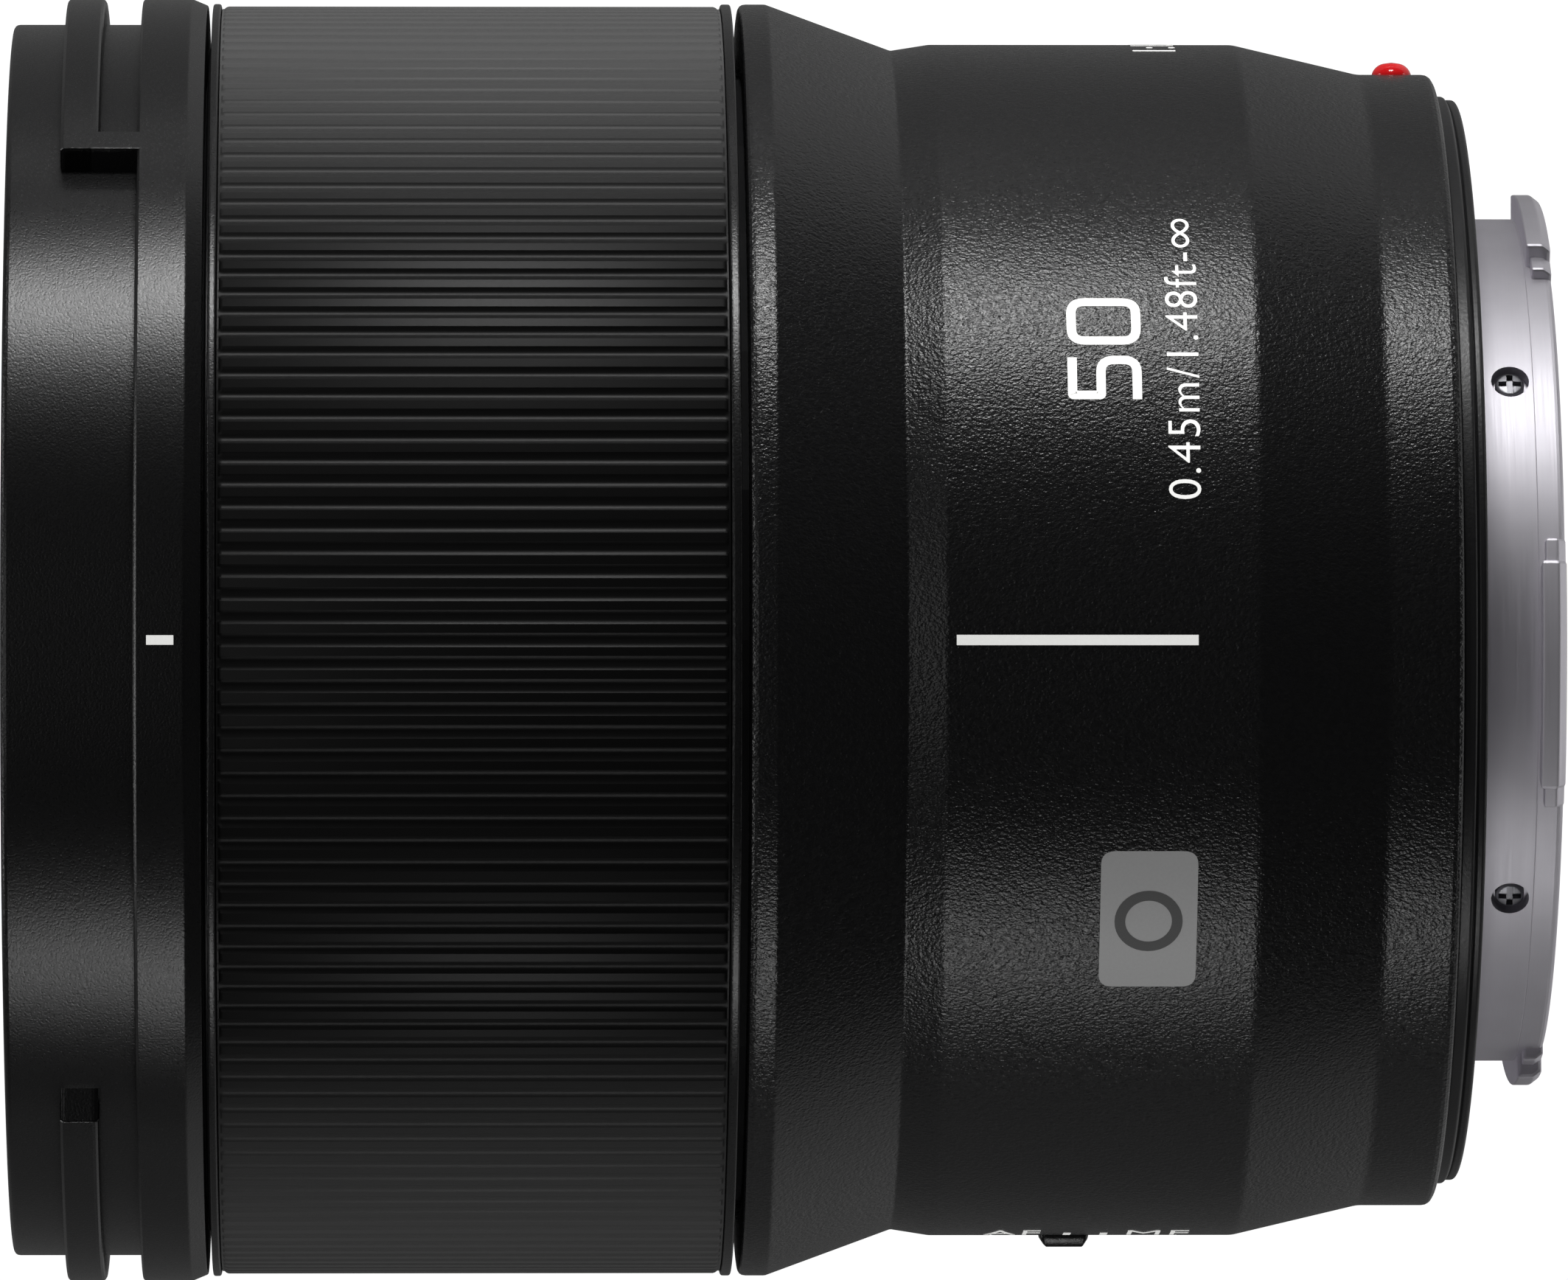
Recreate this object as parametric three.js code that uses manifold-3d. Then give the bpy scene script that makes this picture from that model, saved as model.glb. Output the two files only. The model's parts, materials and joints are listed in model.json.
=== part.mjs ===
// A fifty millimetre prime lens for a mirrorless camera, as separate pieces.
// Millimetres. +Y runs along the optical axis towards the camera, +Z is the top of the lens.
// A "station" is a distance behind the front rim. An angle "phi" is measured from the top,
// positive towards the photographer's right hand (-X).
import * as THREE from "three";
import { mergeVertices } from "three/addons/utils/BufferGeometryUtils.js";
import Module from "manifold-3d";

// ---------- driving dimensions ----------
const LENGTH = 87.4;
const MID_STATION = LENGTH / 2;
const OUTER_SEGMENTS = 40;
const INNER_SEGMENTS = 24;
const GLASS_SEGMENTS = 16;
const PIN_SEGMENTS = 8;
const FIT_GAP = 0.3;

const RIM_RADIUS = 35.3;
const FLANGE_RADIUS = 36.8;
const FILTER_SEAT_RADIUS = 33.2;
const FRONT_RING_BACK = 11.05;
const HOOD_LUG = { front: 3.1, back: 5.3, span: 84.7, start: 48.3, stopSpan: 2.4 };
const FLANGE_FRONT = 7.4;
const FLANGE_BACK = 10.2;
const NAME_RING_SEAT = { radius: 32.7, front: 6.6, back: 9.0 };
const NAME_RING_PROFILE = [
  [32.9, 5.4],
  [32.2, 5.4],
  [20.8, 10.0],
  [20.8, 11.5],
  [22.0, 11.5],
  [22.0, 10.7],
  [32.6, 6.6],
  [32.9, 6.6],
];
const FOCUS_SEAL = { radius: 34.0, back: 12.3 };

const FOCUS_RING = { front: 11.35, back: 41.0, lip: 0.5, lipRadius: 36.5, core: 35.0, bore: 32.7 };
const SEAL_SEAT = { radius: 34.3, depth: 1.25 };
const GRIP = { tip: 36.36, root: 36.1, bore: 35.3, ribs: 45, ribShare: 0.5 };

const TUBE = { outer: 32.2, bore: 30.4, back: 70.0, rearOuter: 29.5, rearBore: 28.3 };
const TUBE_COLLAR = { front: 41.8, back: 45.0, radius: 33.3 };
const CELL_SHOULDER = { front: 15.5, back: 17.0, bore: 28.5 };
const MID_WALL = { front: 43.6, back: 45.0, bore: 20.5 };
const BULKHEAD = { front: 70.0, back: 72.0, bore: 18.0, radius: 31.2 };
const SENSOR = { inner: 28.4, outer: 32.0, halfWidth: 2.5, front: 28.0, back: 32.0, angle: 120 };
const MAIN_BOARD = { inner: 23.4, outer: 29.4, from: 50, to: 310, thickness: 1.2 };

const BARREL_BORE = 31.9;
const BARREL_BACK = 81.2;
const BARREL_FLANGE = { front: 77.0, back: 80.0, bore: 26.0, mountSeat: 30.7, waist: 30.6 };
const BARREL_OUTLINE = [
  [36.5, 41.44],
  [36.5, 43.0],
  [33.85, 50.2],
  [34.2, 52.4],
  [34.2, 69.8],
  [32.5, 77.0],
  [32.5, BARREL_BACK],
];

const SWITCH = { travel: 2.0, front: 58.8, back: 61.6, root: 31.0, top: 34.85, halfWidth: 1.6 };
const SWITCH_PLATE = { front: 55.9, back: 66.7, floor: 33.3, top: 34.1, halfWidth: 2.7 };
const SWITCH_FOOT = { inner: 30.7, outer: 31.3, halfWidth: 2.6, overhang: 1.6 };
const SWITCH_BOARD = { inner: 29.8, outer: 30.3, halfWidth: 3.4, front: 55.0, back: 67.5 };
const SWITCH_ANGLE = -90;
const BEAD = { station: 79.1, radius: 1.15, top: 33.2, root: 31.8, angle: 90 };

const FLANGE_STATION = 82.0;
const MOUNT = { front: 80.0, radius: 30.2, throat: 21.6, sleeve: 24.2, relief: 26.0 };
const BAFFLE_SEAT = { radius: 20.5, station: 81.4 };
const BAYONET_RADIUS = 25.6;
const CLAW = { front: 86.0, back: 87.4 };
const CLAWS = [
  { centre: -4.5, span: 29.3 },
  { centre: 76.0, span: 30.0 },
  { centre: -93.0, span: 30.0 },
  { centre: 178.0, span: 29.0 },
];
const MOUNT_SCREW = { circle: 28.2, head: 1.6, shank: 0.75, seat: 81.0, top: 81.7, tip: 77.4 };
const MOUNT_SCREW_ANGLES = [45, 135, 225, 315];
const SIDE_SCREW = { station: 84.6, head: 0.82, shank: 0.5, seat: 23.4, top: 23.95, tip: 20.7 };
const SIDE_SCREW_ANGLES = [37, -37, 143, -143];
const LOCK_PIN_HOLE = { circle: 28.0, radius: 1.5, depth: 1.2, angle: -75 };
const GASKET_PROFILE = [
  [30.5, BARREL_BACK],
  [31.2, BARREL_BACK],
  [31.2, FLANGE_STATION],
  [31.0, 82.6],
  [30.5, 82.6],
];
const REAR_BAFFLE_PROFILE = [
  [16.5, BAFFLE_SEAT.station],
  [21.3, BAFFLE_SEAT.station],
  [21.3, 85.2],
  [19.3, 85.2],
  [19.3, 82.4],
  [16.5, 82.4],
];
const CONTACT_BLOCK = { inner: 19.0, outer: 21.2, from: 142, to: 218, front: 85.2, back: 86.4 };
const CONTACT_STRIP = { inner: 19.6, outer: 20.6, from: 146, to: 214, back: 86.7 };
const CONTACT = { count: 10, pitch: 6.6, inner: 19.7, outer: 20.5, halfWidth: 0.45, back: 87.0 };

const IRIS = { blades: 9, layers: 3, pivotCircle: 22.6, lever: 2.6, open: 13.8, outer: 20.4 };
const IRIS_BLADE = { thickness: 0.3, layerPitch: 0.6, front: 37.6, span: 70, heel: 5, armHalf: 1.0 };
const IRIS_PIN = 0.6;
const IRIS_SWING = 32;
const IRIS_CUP = { front: 36.0, floor: 37.2, back: 40.8, bore: 14.2, wall: 26.6, radius: 28.0 };
const IRIS_COVER_BACK = 41.6;
const DRIVE_RING = { front: 39.4, back: 40.4, bore: 14.4, radius: 26.2, notch: 23.7, notchSpan: 12 };
const IRIS_MOTOR = { circle: 25.2, radius: 2.7, front: 27.0, shaft: 0.8, angle: -30 };

const FOCUS_TRAVEL = 5.0;
const SLIDE_CIRCLE = 23.6;
const ROD = { radius: 1.0, front: 43.8, back: 71.8, angles: [150, -30] };
const FOCUS_CELL = { front: 49.0, back: 67.0, radius: 18.6, throat: 13.6, armRoot: 18.2 };
const BUSHING_WEB = { front: 52.0, back: 61.0, halfWidth: 1.5 };
const BUSHING = { front: 50.5, back: 63.0, radius: 2.6, bore: 1.4 };
const FORK = { front: 54.0, back: 57.0, halfWidth: 2.6, tip: 25.4 };
const NUT_ARM = { front: 55.0, back: 58.0, halfWidth: 3.4, tip: 27.0, bore: 2.3 };
const LEAD_NUT = { radius: 2.0, flange: 2.8, bore: 1.4, back: 59.0 };
const LEAD_SCREW = { radius: 1.0, front: 44.0, back: 61.6, angle: 60 };
const FOCUS_MOTOR = { radius: 4.0, front: 60.0, shaftHole: 1.4, holeDepth: 2.0 };

// Each element: edge radius, edge stations, and how far each face rises on the axis.
const FRONT_GLASS = [
  { radius: 20.0, front: 14.2, back: 17.2, frontRise: -1.8, backRise: -1.4 },
  { radius: 17.0, front: 19.0, back: 23.6, frontRise: 1.5, backRise: -1.6 },
  { radius: 17.0, front: 23.7, back: 26.4, frontRise: -1.6, backRise: 1.4 },
  { radius: 18.0, front: 30.0, back: 32.8, frontRise: -1.6, backRise: -0.6 },
];
const MOVING_GLASS = [
  { radius: 14.5, front: 51.0, back: 53.4, frontRise: 1.2, backRise: 1.0 },
  { radius: 15.3, front: 56.0, back: 58.2, frontRise: -0.8, backRise: 1.2 },
  { radius: 16.1, front: 60.6, back: 62.4, frontRise: -1.0, backRise: 0.4 },
  { radius: 16.9, front: 64.4, back: 66.6, frontRise: 1.0, backRise: 1.6 },
];
const REAR_GLASS = { radius: 17.0, front: 75.2, back: 78.2, frontRise: -1.4, backRise: -0.6 };
const GLASS_LAND = 0.8;

const FRONT_CELL_PROFILE = [
  [20.3, 12.2],
  [21.6, 12.2],
  [21.6, 14.0],
  [30.1, 14.0],
  [30.1, CELL_SHOULDER.front],
  [21.6, CELL_SHOULDER.front],
  [21.6, IRIS_CUP.front],
  [18.3, IRIS_CUP.front],
  [18.3, 30.0],
  [17.3, 30.0],
  [17.3, 19.0],
  [16.0, 19.0],
  [16.0, 17.2],
  [20.3, 17.2],
];
const FRONT_RETAINER = { inner: 19.2, outer: 20.1, front: 12.6, back: 14.2 };
const REAR_CELL_PROFILE = [
  [16.4, BULKHEAD.back],
  [23.0, BULKHEAD.back],
  [23.0, 73.2],
  [19.8, 73.2],
  [19.8, 80.6],
  [17.3, 80.6],
  [17.3, 75.2],
  [16.4, 75.2],
];

// ---------- finishes ----------
const SATIN_BLACK = { color: 0x17171a, roughness: 0.55, metalness: 0.0 };
const RUBBER = { color: 0x1b1b1d, roughness: 0.85, metalness: 0.0 };
const STEEL = { color: 0xb9b9c2, roughness: 0.3, metalness: 1.0 };
const DARK_STEEL = { color: 0x3a3a3e, roughness: 0.4, metalness: 1.0 };
const GLASS = { color: 0xc4d8dc, roughness: 0.05, metalness: 0.0 };
const RED = { color: 0xb01018, roughness: 0.2, metalness: 0.0 };
const BOARD = { color: 0x14552c, roughness: 0.6, metalness: 0.0 };
const GOLD = { color: 0xd7a93c, roughness: 0.3, metalness: 1.0 };
const BRASS = { color: 0xb58a3a, roughness: 0.35, metalness: 1.0 };

// ---------- solid helpers ----------
const wasm = await Module();
wasm.setup();

const radians = (degrees) => (degrees * Math.PI) / 180;
const along = (station) => station - MID_STATION;

// The point at a radius, an angle phi and a station.
function onLens(radius, phi, station) {
  const a = radians(phi);
  return new THREE.Vector3(-radius * Math.sin(a), along(station), radius * Math.cos(a));
}

// Bare positions, so that every solid merges and cuts the same way.
function bare(geometry) {
  const plain = geometry.index ? geometry.toNonIndexed() : geometry;
  const positions = plain.getAttribute("position");
  return mergeVertices(new THREE.BufferGeometry().setAttribute("position", positions), 1e-4);
}

function toManifold(geometry) {
  const source = bare(geometry);
  const mesh = new wasm.Mesh({
    numProp: 3,
    vertProperties: source.attributes.position.array,
    triVerts: new Uint32Array(source.index.array),
  });
  return new wasm.Manifold(mesh);
}

function fromManifold(solid) {
  const mesh = solid.getMesh();
  const geometry = new THREE.BufferGeometry();
  geometry.setAttribute("position", new THREE.BufferAttribute(mesh.vertProperties, 3));
  geometry.setIndex(new THREE.BufferAttribute(mesh.triVerts, 1));
  const flat = geometry.toNonIndexed();
  flat.computeVertexNormals();
  return flat;
}

function joined(base, pieces) {
  return fromManifold(pieces.reduce((sum, piece) => sum.add(toManifold(piece)), toManifold(base)));
}

function cut(base, tools) {
  return fromManifold(
    tools.reduce((rest, tool) => rest.subtract(toManifold(tool)), toManifold(base)),
  );
}

// A solid of revolution about the optical axis from [radius, station] corners.
function turned(corners, segments = INNER_SEGMENTS) {
  const points = corners.map(([radius, station]) => new THREE.Vector2(radius, along(station)));
  if (THREE.ShapeUtils.area(points) < 0) points.reverse();
  if (points[0].x > 0) points.push(points[0].clone());
  return new THREE.LatheGeometry(points, segments);
}

// A plain ring between two radii and two stations.
function ring(inner, outer, front, back, segments = INNER_SEGMENTS) {
  const corners = [
    [inner, front],
    [outer, front],
    [outer, back],
    [inner, back],
  ];
  return turned(corners, segments);
}

// A flat outline in the plane across the lens, raised along the optical axis.
// Outline points are [x, y] with y pointing to the lens's underside (-Z).
function raised(outline, front, back) {
  const shape = new THREE.Shape(outline.map(([x, y]) => new THREE.Vector2(x, y)));
  const settings = { depth: back - front, bevelEnabled: false };
  return new THREE.ExtrudeGeometry(shape, settings).rotateX(-Math.PI / 2).translate(0, along(front), 0);
}

// The points of an arc about the optical axis, as outline points.
function arc(radius, from, to, steps) {
  return Array.from({ length: steps + 1 }, (_, i) => {
    const a = radians(from + ((to - from) * i) / steps);
    return [-radius * Math.sin(a), -radius * Math.cos(a)];
  });
}

// A slab between two radii and two angles phi.
function sector(inner, outer, from, to, front, back, steps = 8) {
  const outline = [...arc(outer, from, to, steps), ...arc(inner, to, from, steps)];
  return raised(outline, front, back);
}

// A round bar between two points.
function bar(start, end, radius, segments = PIN_SEGMENTS) {
  const line = new THREE.Vector3().subVectors(end, start);
  const middle = new THREE.Vector3().addVectors(start, end).multiplyScalar(0.5);
  const up = new THREE.Vector3(0, 1, 0);
  const turn = new THREE.Quaternion().setFromUnitVectors(up, line.clone().normalize());
  return new THREE.CylinderGeometry(radius, radius, line.length(), segments)
    .applyQuaternion(turn)
    .translate(middle.x, middle.y, middle.z);
}

// A bar parallel to the optical axis.
function axialBar(circle, phi, front, back, radius, segments = PIN_SEGMENTS) {
  return bar(onLens(circle, phi, front), onLens(circle, phi, back), radius, segments);
}

// A block standing on a radius line: from one radius to another, centred on phi.
function radialBlock(inner, outer, halfWidth, phi, front, back) {
  return new THREE.BoxGeometry(2 * halfWidth, back - front, outer - inner)
    .translate(0, along((front + back) / 2), (inner + outer) / 2)
    .rotateY(-radians(phi));
}

function add(group, name, geometry, finish) {
  const mesh = new THREE.Mesh(geometry, new THREE.MeshStandardMaterial(finish));
  mesh.name = name;
  group.add(mesh);
  return mesh;
}

function subassembly(parent, name) {
  const group = new THREE.Group();
  group.name = name;
  parent.add(group);
  return group;
}

// ---------- front end ----------
function hoodLugs() {
  const { front, back, span, start, stopSpan } = HOOD_LUG;
  const root = RIM_RADIUS - 1;
  return [0, 180].flatMap((turn) => [
    sector(root, FLANGE_RADIUS, start + turn, start + turn + span, front, back, 10),
    sector(root, FLANGE_RADIUS, start + turn, start + turn + stopSpan, front, FLANGE_FRONT + 0.5, 2),
  ]);
}

function frontRing() {
  const body = turned(
    [
      [FILTER_SEAT_RADIUS, 0.35],
      [FILTER_SEAT_RADIUS + 0.35, 0],
      [RIM_RADIUS - 0.35, 0],
      [RIM_RADIUS, 0.35],
      [RIM_RADIUS, FLANGE_FRONT],
      [FLANGE_RADIUS, FLANGE_FRONT],
      [FLANGE_RADIUS, FLANGE_BACK],
      [FLANGE_RADIUS - 0.4, FRONT_RING_BACK],
      [TUBE.bore + 0.2, FRONT_RING_BACK],
      [TUBE.bore + 0.2, NAME_RING_SEAT.back],
      [NAME_RING_SEAT.radius, NAME_RING_SEAT.back],
      [NAME_RING_SEAT.radius, NAME_RING_SEAT.front],
      [FILTER_SEAT_RADIUS, NAME_RING_SEAT.front],
    ],
    OUTER_SEGMENTS,
  );
  return joined(body, hoodLugs());
}

function buildFront(lens) {
  const group = subassembly(lens, "front_end");
  add(group, "front_ring", frontRing(), SATIN_BLACK);
  add(group, "name_ring", turned(NAME_RING_PROFILE), SATIN_BLACK);
  const seal = ring(TUBE.outer + FIT_GAP, FOCUS_SEAL.radius, FRONT_RING_BACK, FOCUS_SEAL.back);
  add(group, "focus_seal", seal, RUBBER);
}

// ---------- fixed tube that carries everything ----------
function innerTube() {
  const body = turned([
    [TUBE.bore, FRONT_RING_BACK],
    [TUBE.outer, FRONT_RING_BACK],
    [TUBE.outer, TUBE_COLLAR.front],
    [TUBE_COLLAR.radius, TUBE_COLLAR.front],
    [TUBE_COLLAR.radius, TUBE_COLLAR.back],
    [TUBE.rearOuter, TUBE_COLLAR.back],
    [TUBE.rearOuter, TUBE.back],
    [TUBE.rearBore, TUBE.back],
    [TUBE.rearBore, MID_WALL.back],
    [MID_WALL.bore, MID_WALL.back],
    [MID_WALL.bore, MID_WALL.front],
    [TUBE.bore, MID_WALL.front],
    [TUBE.bore, CELL_SHOULDER.back],
    [CELL_SHOULDER.bore, CELL_SHOULDER.back],
    [CELL_SHOULDER.bore, CELL_SHOULDER.front],
    [TUBE.bore, CELL_SHOULDER.front],
  ]);
  const holes = [...ROD.angles, LEAD_SCREW.angle].map((phi) =>
    axialBar(SLIDE_CIRCLE, phi, MID_WALL.front - 1, MID_WALL.back + 1, ROD.radius + FIT_GAP),
  );
  return cut(body, [...holes, sensorBlock(FIT_GAP)]);
}

// The light gate that watches the focus ring turn, or its window when grown by a gap.
function sensorBlock(gap) {
  const { inner, outer, halfWidth, front, back, angle } = SENSOR;
  return radialBlock(inner - gap, outer + gap, halfWidth + gap, angle, front - gap, back + gap);
}

function rearBulkhead() {
  const plate = ring(BULKHEAD.bore, BULKHEAD.radius, BULKHEAD.front, BULKHEAD.back);
  const holes = ROD.angles.map((phi) =>
    axialBar(SLIDE_CIRCLE, phi, BULKHEAD.front - 1, BULKHEAD.back + 1, ROD.radius + FIT_GAP),
  );
  return cut(plate, holes);
}

function buildCore(lens) {
  const group = subassembly(lens, "fixed_core");
  add(group, "inner_tube", innerTube(), SATIN_BLACK);
  add(group, "rear_bulkhead", rearBulkhead(), SATIN_BLACK);
  add(group, "rotation_sensor", sensorBlock(0), BOARD);
  const { inner, outer, from, to, thickness } = MAIN_BOARD;
  const board = sector(inner, outer, from, to, BULKHEAD.back, BULKHEAD.back + thickness, 13);
  add(group, "main_board", board, BOARD);
  ROD.angles.forEach((phi, i) => {
    const rod = axialBar(SLIDE_CIRCLE, phi, ROD.front, ROD.back, ROD.radius);
    add(group, `guide_rod_${i + 1}`, rod, STEEL);
  });
}

// ---------- outer barrel, switch and index bead ----------
function mainBarrel() {
  const inside = [
    [BARREL_FLANGE.mountSeat, BARREL_BACK],
    [BARREL_FLANGE.mountSeat, BARREL_FLANGE.back],
    [BARREL_FLANGE.bore, BARREL_FLANGE.back],
    [BARREL_FLANGE.bore, BARREL_FLANGE.front],
    [BARREL_FLANGE.waist, BARREL_FLANGE.front],
    [BARREL_BORE, BULKHEAD.back],
    [BARREL_BORE, TUBE_COLLAR.back],
    [TUBE_COLLAR.radius + FIT_GAP, TUBE_COLLAR.back],
    [TUBE_COLLAR.radius + FIT_GAP, BARREL_OUTLINE[0][1]],
  ];
  const body = turned([...BARREL_OUTLINE, ...inside], OUTER_SEGMENTS);
  const screwHoles = MOUNT_SCREW_ANGLES.map((phi) =>
    axialBar(MOUNT_SCREW.circle, phi, 76, 81, MOUNT_SCREW.shank + FIT_GAP),
  );
  const { floor, halfWidth, front, back } = SWITCH_PLATE;
  const plateRecess = radialBlock(floor, FLANGE_RADIUS, halfWidth, SWITCH_ANGLE, front, back);
  const beadHole = bar(
    onLens(BEAD.root - FIT_GAP, BEAD.angle, BEAD.station),
    onLens(FLANGE_RADIUS, BEAD.angle, BEAD.station),
    BEAD.radius + FIT_GAP,
    12,
  );
  return cut(body, [...screwHoles, plateRecess, switchWindow(), beadHole]);
}

// The slot the switch knob runs in, through the plate and the barrel wall.
function switchWindow() {
  const half = SWITCH.halfWidth + FIT_GAP;
  const back = SWITCH.back + SWITCH.travel + FIT_GAP;
  const { root } = SWITCH;
  return radialBlock(root, FLANGE_RADIUS, half, SWITCH_ANGLE, SWITCH.front - FIT_GAP, back);
}

function switchPlate() {
  const { floor, top, halfWidth, front, back } = SWITCH_PLATE;
  const gap = 0.1;
  const half = halfWidth - gap;
  const plate = radialBlock(floor, top, half, SWITCH_ANGLE, front + gap, back - gap);
  return cut(plate, [switchWindow()]);
}

function switchKnob() {
  const { front, back, root, top, halfWidth } = SWITCH;
  const cap = radialBlock(root, top, halfWidth, SWITCH_ANGLE, front, back);
  const { inner, outer, halfWidth: footHalf, overhang } = SWITCH_FOOT;
  const foot = radialBlock(inner, outer, footHalf, SWITCH_ANGLE, front - overhang, back + overhang);
  return joined(cap, [foot]);
}

function indexBead() {
  const { radius, top, root } = BEAD;
  const profile = [
    new THREE.Vector2(0, root),
    new THREE.Vector2(radius, root),
    new THREE.Vector2(radius, top - 0.6),
    new THREE.Vector2(radius * 0.75, top - 0.2),
    new THREE.Vector2(0, top),
  ];
  return new THREE.LatheGeometry(profile, 12);
}

function buildBarrel(lens) {
  const group = subassembly(lens, "outer_barrel");
  add(group, "main_barrel", mainBarrel(), SATIN_BLACK);
  add(group, "switch_plate", switchPlate(), SATIN_BLACK);
  const { inner, outer, halfWidth, front, back } = SWITCH_BOARD;
  const board = radialBlock(inner, outer, halfWidth, SWITCH_ANGLE, front, back);
  add(group, "switch_board", board, BOARD);
  add(group, "switch_knob", switchKnob(), SATIN_BLACK);
  const bead = add(group, "index_bead", indexBead(), RED);
  bead.position.set(0, along(BEAD.station), 0);
  bead.rotation.z = Math.PI / 2;
}

// ---------- rear mount ----------
function mountRing() {
  const body = turned(
    [
      [BAFFLE_SEAT.radius, MOUNT.front],
      [MOUNT.radius, MOUNT.front],
      [MOUNT.radius, FLANGE_STATION],
      [MOUNT.relief, FLANGE_STATION],
      [MOUNT.relief, FLANGE_STATION - 0.3],
      [MOUNT.sleeve, FLANGE_STATION - 0.3],
      [MOUNT.sleeve, LENGTH],
      [MOUNT.throat, LENGTH],
      [MOUNT.throat, BAFFLE_SEAT.station],
      [BAFFLE_SEAT.radius, BAFFLE_SEAT.station],
    ],
    OUTER_SEGMENTS,
  );
  const claws = CLAWS.map(({ centre, span }) =>
    sector(
      MOUNT.throat + 1,
      BAYONET_RADIUS,
      centre - span / 2,
      centre + span / 2,
      CLAW.front,
      CLAW.back,
      4,
    ),
  );
  return cut(joined(body, claws), [...mountScrewHoles(), ...sideScrewHoles(), lockPinHole()]);
}

function mountScrewHoles() {
  const { circle, head, shank, seat } = MOUNT_SCREW;
  return MOUNT_SCREW_ANGLES.flatMap((phi) => [
    axialBar(circle, phi, MOUNT.front - 1, seat + 0.1, shank + FIT_GAP),
    axialBar(circle, phi, seat, FLANGE_STATION + 1, head + FIT_GAP, 12),
  ]);
}

function sideScrewHoles() {
  const { station, head, shank, seat } = SIDE_SCREW;
  return SIDE_SCREW_ANGLES.flatMap((phi) => [
    bar(onLens(20, phi, station), onLens(seat + 0.1, phi, station), shank + FIT_GAP),
    bar(onLens(seat, phi, station), onLens(26, phi, station), head + FIT_GAP),
  ]);
}

function lockPinHole() {
  const { circle, radius, depth, angle } = LOCK_PIN_HOLE;
  return axialBar(circle, angle, FLANGE_STATION - depth, FLANGE_STATION + 1, radius, 12);
}

// A screw standing on the axis: its head above the seat, its shank below.
function screw(headRadius, headHeight, shankRadius, shankLength) {
  const corners = [
    [0, -shankLength],
    [shankRadius, -shankLength],
    [shankRadius, 0],
    [headRadius, 0],
    [headRadius, headHeight],
    [0, headHeight],
  ];
  return new THREE.LatheGeometry(
    corners.map(([r, y]) => new THREE.Vector2(r, y)),
    PIN_SEGMENTS,
  );
}

function mountScrews(group) {
  const { circle, head, shank, seat, top, tip } = MOUNT_SCREW;
  MOUNT_SCREW_ANGLES.forEach((phi, i) => {
    const piece = screw(head, top - seat, shank, seat - tip);
    add(group, `mount_screw_${i + 1}`, piece, STEEL).position.copy(onLens(circle, phi, seat));
  });
}

function sideScrews(group) {
  const { station, head, shank, seat, top, tip } = SIDE_SCREW;
  SIDE_SCREW_ANGLES.forEach((phi, i) => {
    const piece = screw(head, top - seat, shank, seat - tip);
    const mesh = add(group, `side_screw_${i + 1}`, piece, STEEL);
    mesh.position.copy(onLens(seat, phi, station));
    const outward = onLens(1, phi, MID_STATION);
    mesh.quaternion.setFromUnitVectors(new THREE.Vector3(0, 1, 0), outward);
  });
}

function rearBaffle() {
  const { station, shank, tip } = SIDE_SCREW;
  const holes = SIDE_SCREW_ANGLES.map((phi) =>
    bar(onLens(tip - FIT_GAP, phi, station), onLens(22, phi, station), shank + FIT_GAP),
  );
  return cut(turned(REAR_BAFFLE_PROFILE), holes);
}

function contactBlock() {
  const { inner, outer, from, to, front, back } = CONTACT_BLOCK;
  return sector(inner, outer, from, to, front, back, 10);
}

// Gold contacts in a row, held together by a thin base.
function contactStrip() {
  const { inner, outer, from, to, back } = CONTACT_STRIP;
  const base = sector(inner, outer, from, to, CONTACT_BLOCK.back, back, 9);
  const pads = Array.from({ length: CONTACT.count }, (_, i) => {
    const phi = 180 + (i - (CONTACT.count - 1) / 2) * CONTACT.pitch;
    return radialBlock(CONTACT.inner, CONTACT.outer, CONTACT.halfWidth, phi, back - 0.1, CONTACT.back);
  });
  return joined(base, pads);
}

function buildMount(lens) {
  const group = subassembly(lens, "rear_mount");
  add(group, "mount_ring", mountRing(), STEEL);
  mountScrews(group);
  sideScrews(group);
  add(group, "mount_gasket", turned(GASKET_PROFILE, OUTER_SEGMENTS), RUBBER);
  add(group, "rear_baffle", rearBaffle(), SATIN_BLACK);
  add(group, "contact_block", contactBlock(), SATIN_BLACK);
  add(group, "contact_strip", contactStrip(), GOLD);
}

// ---------- focus ring ----------
function focusSleeve() {
  const { front, back, lip, lipRadius, core, bore } = FOCUS_RING;
  return turned(
    [
      [SEAL_SEAT.radius, front],
      [lipRadius, front],
      [lipRadius, front + lip],
      [core, front + lip],
      [core, back - lip],
      [lipRadius, back - lip],
      [lipRadius, back],
      [bore, back],
      [bore, front + SEAL_SEAT.depth],
      [SEAL_SEAT.radius, front + SEAL_SEAT.depth],
    ],
    OUTER_SEGMENTS,
  );
}

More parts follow.
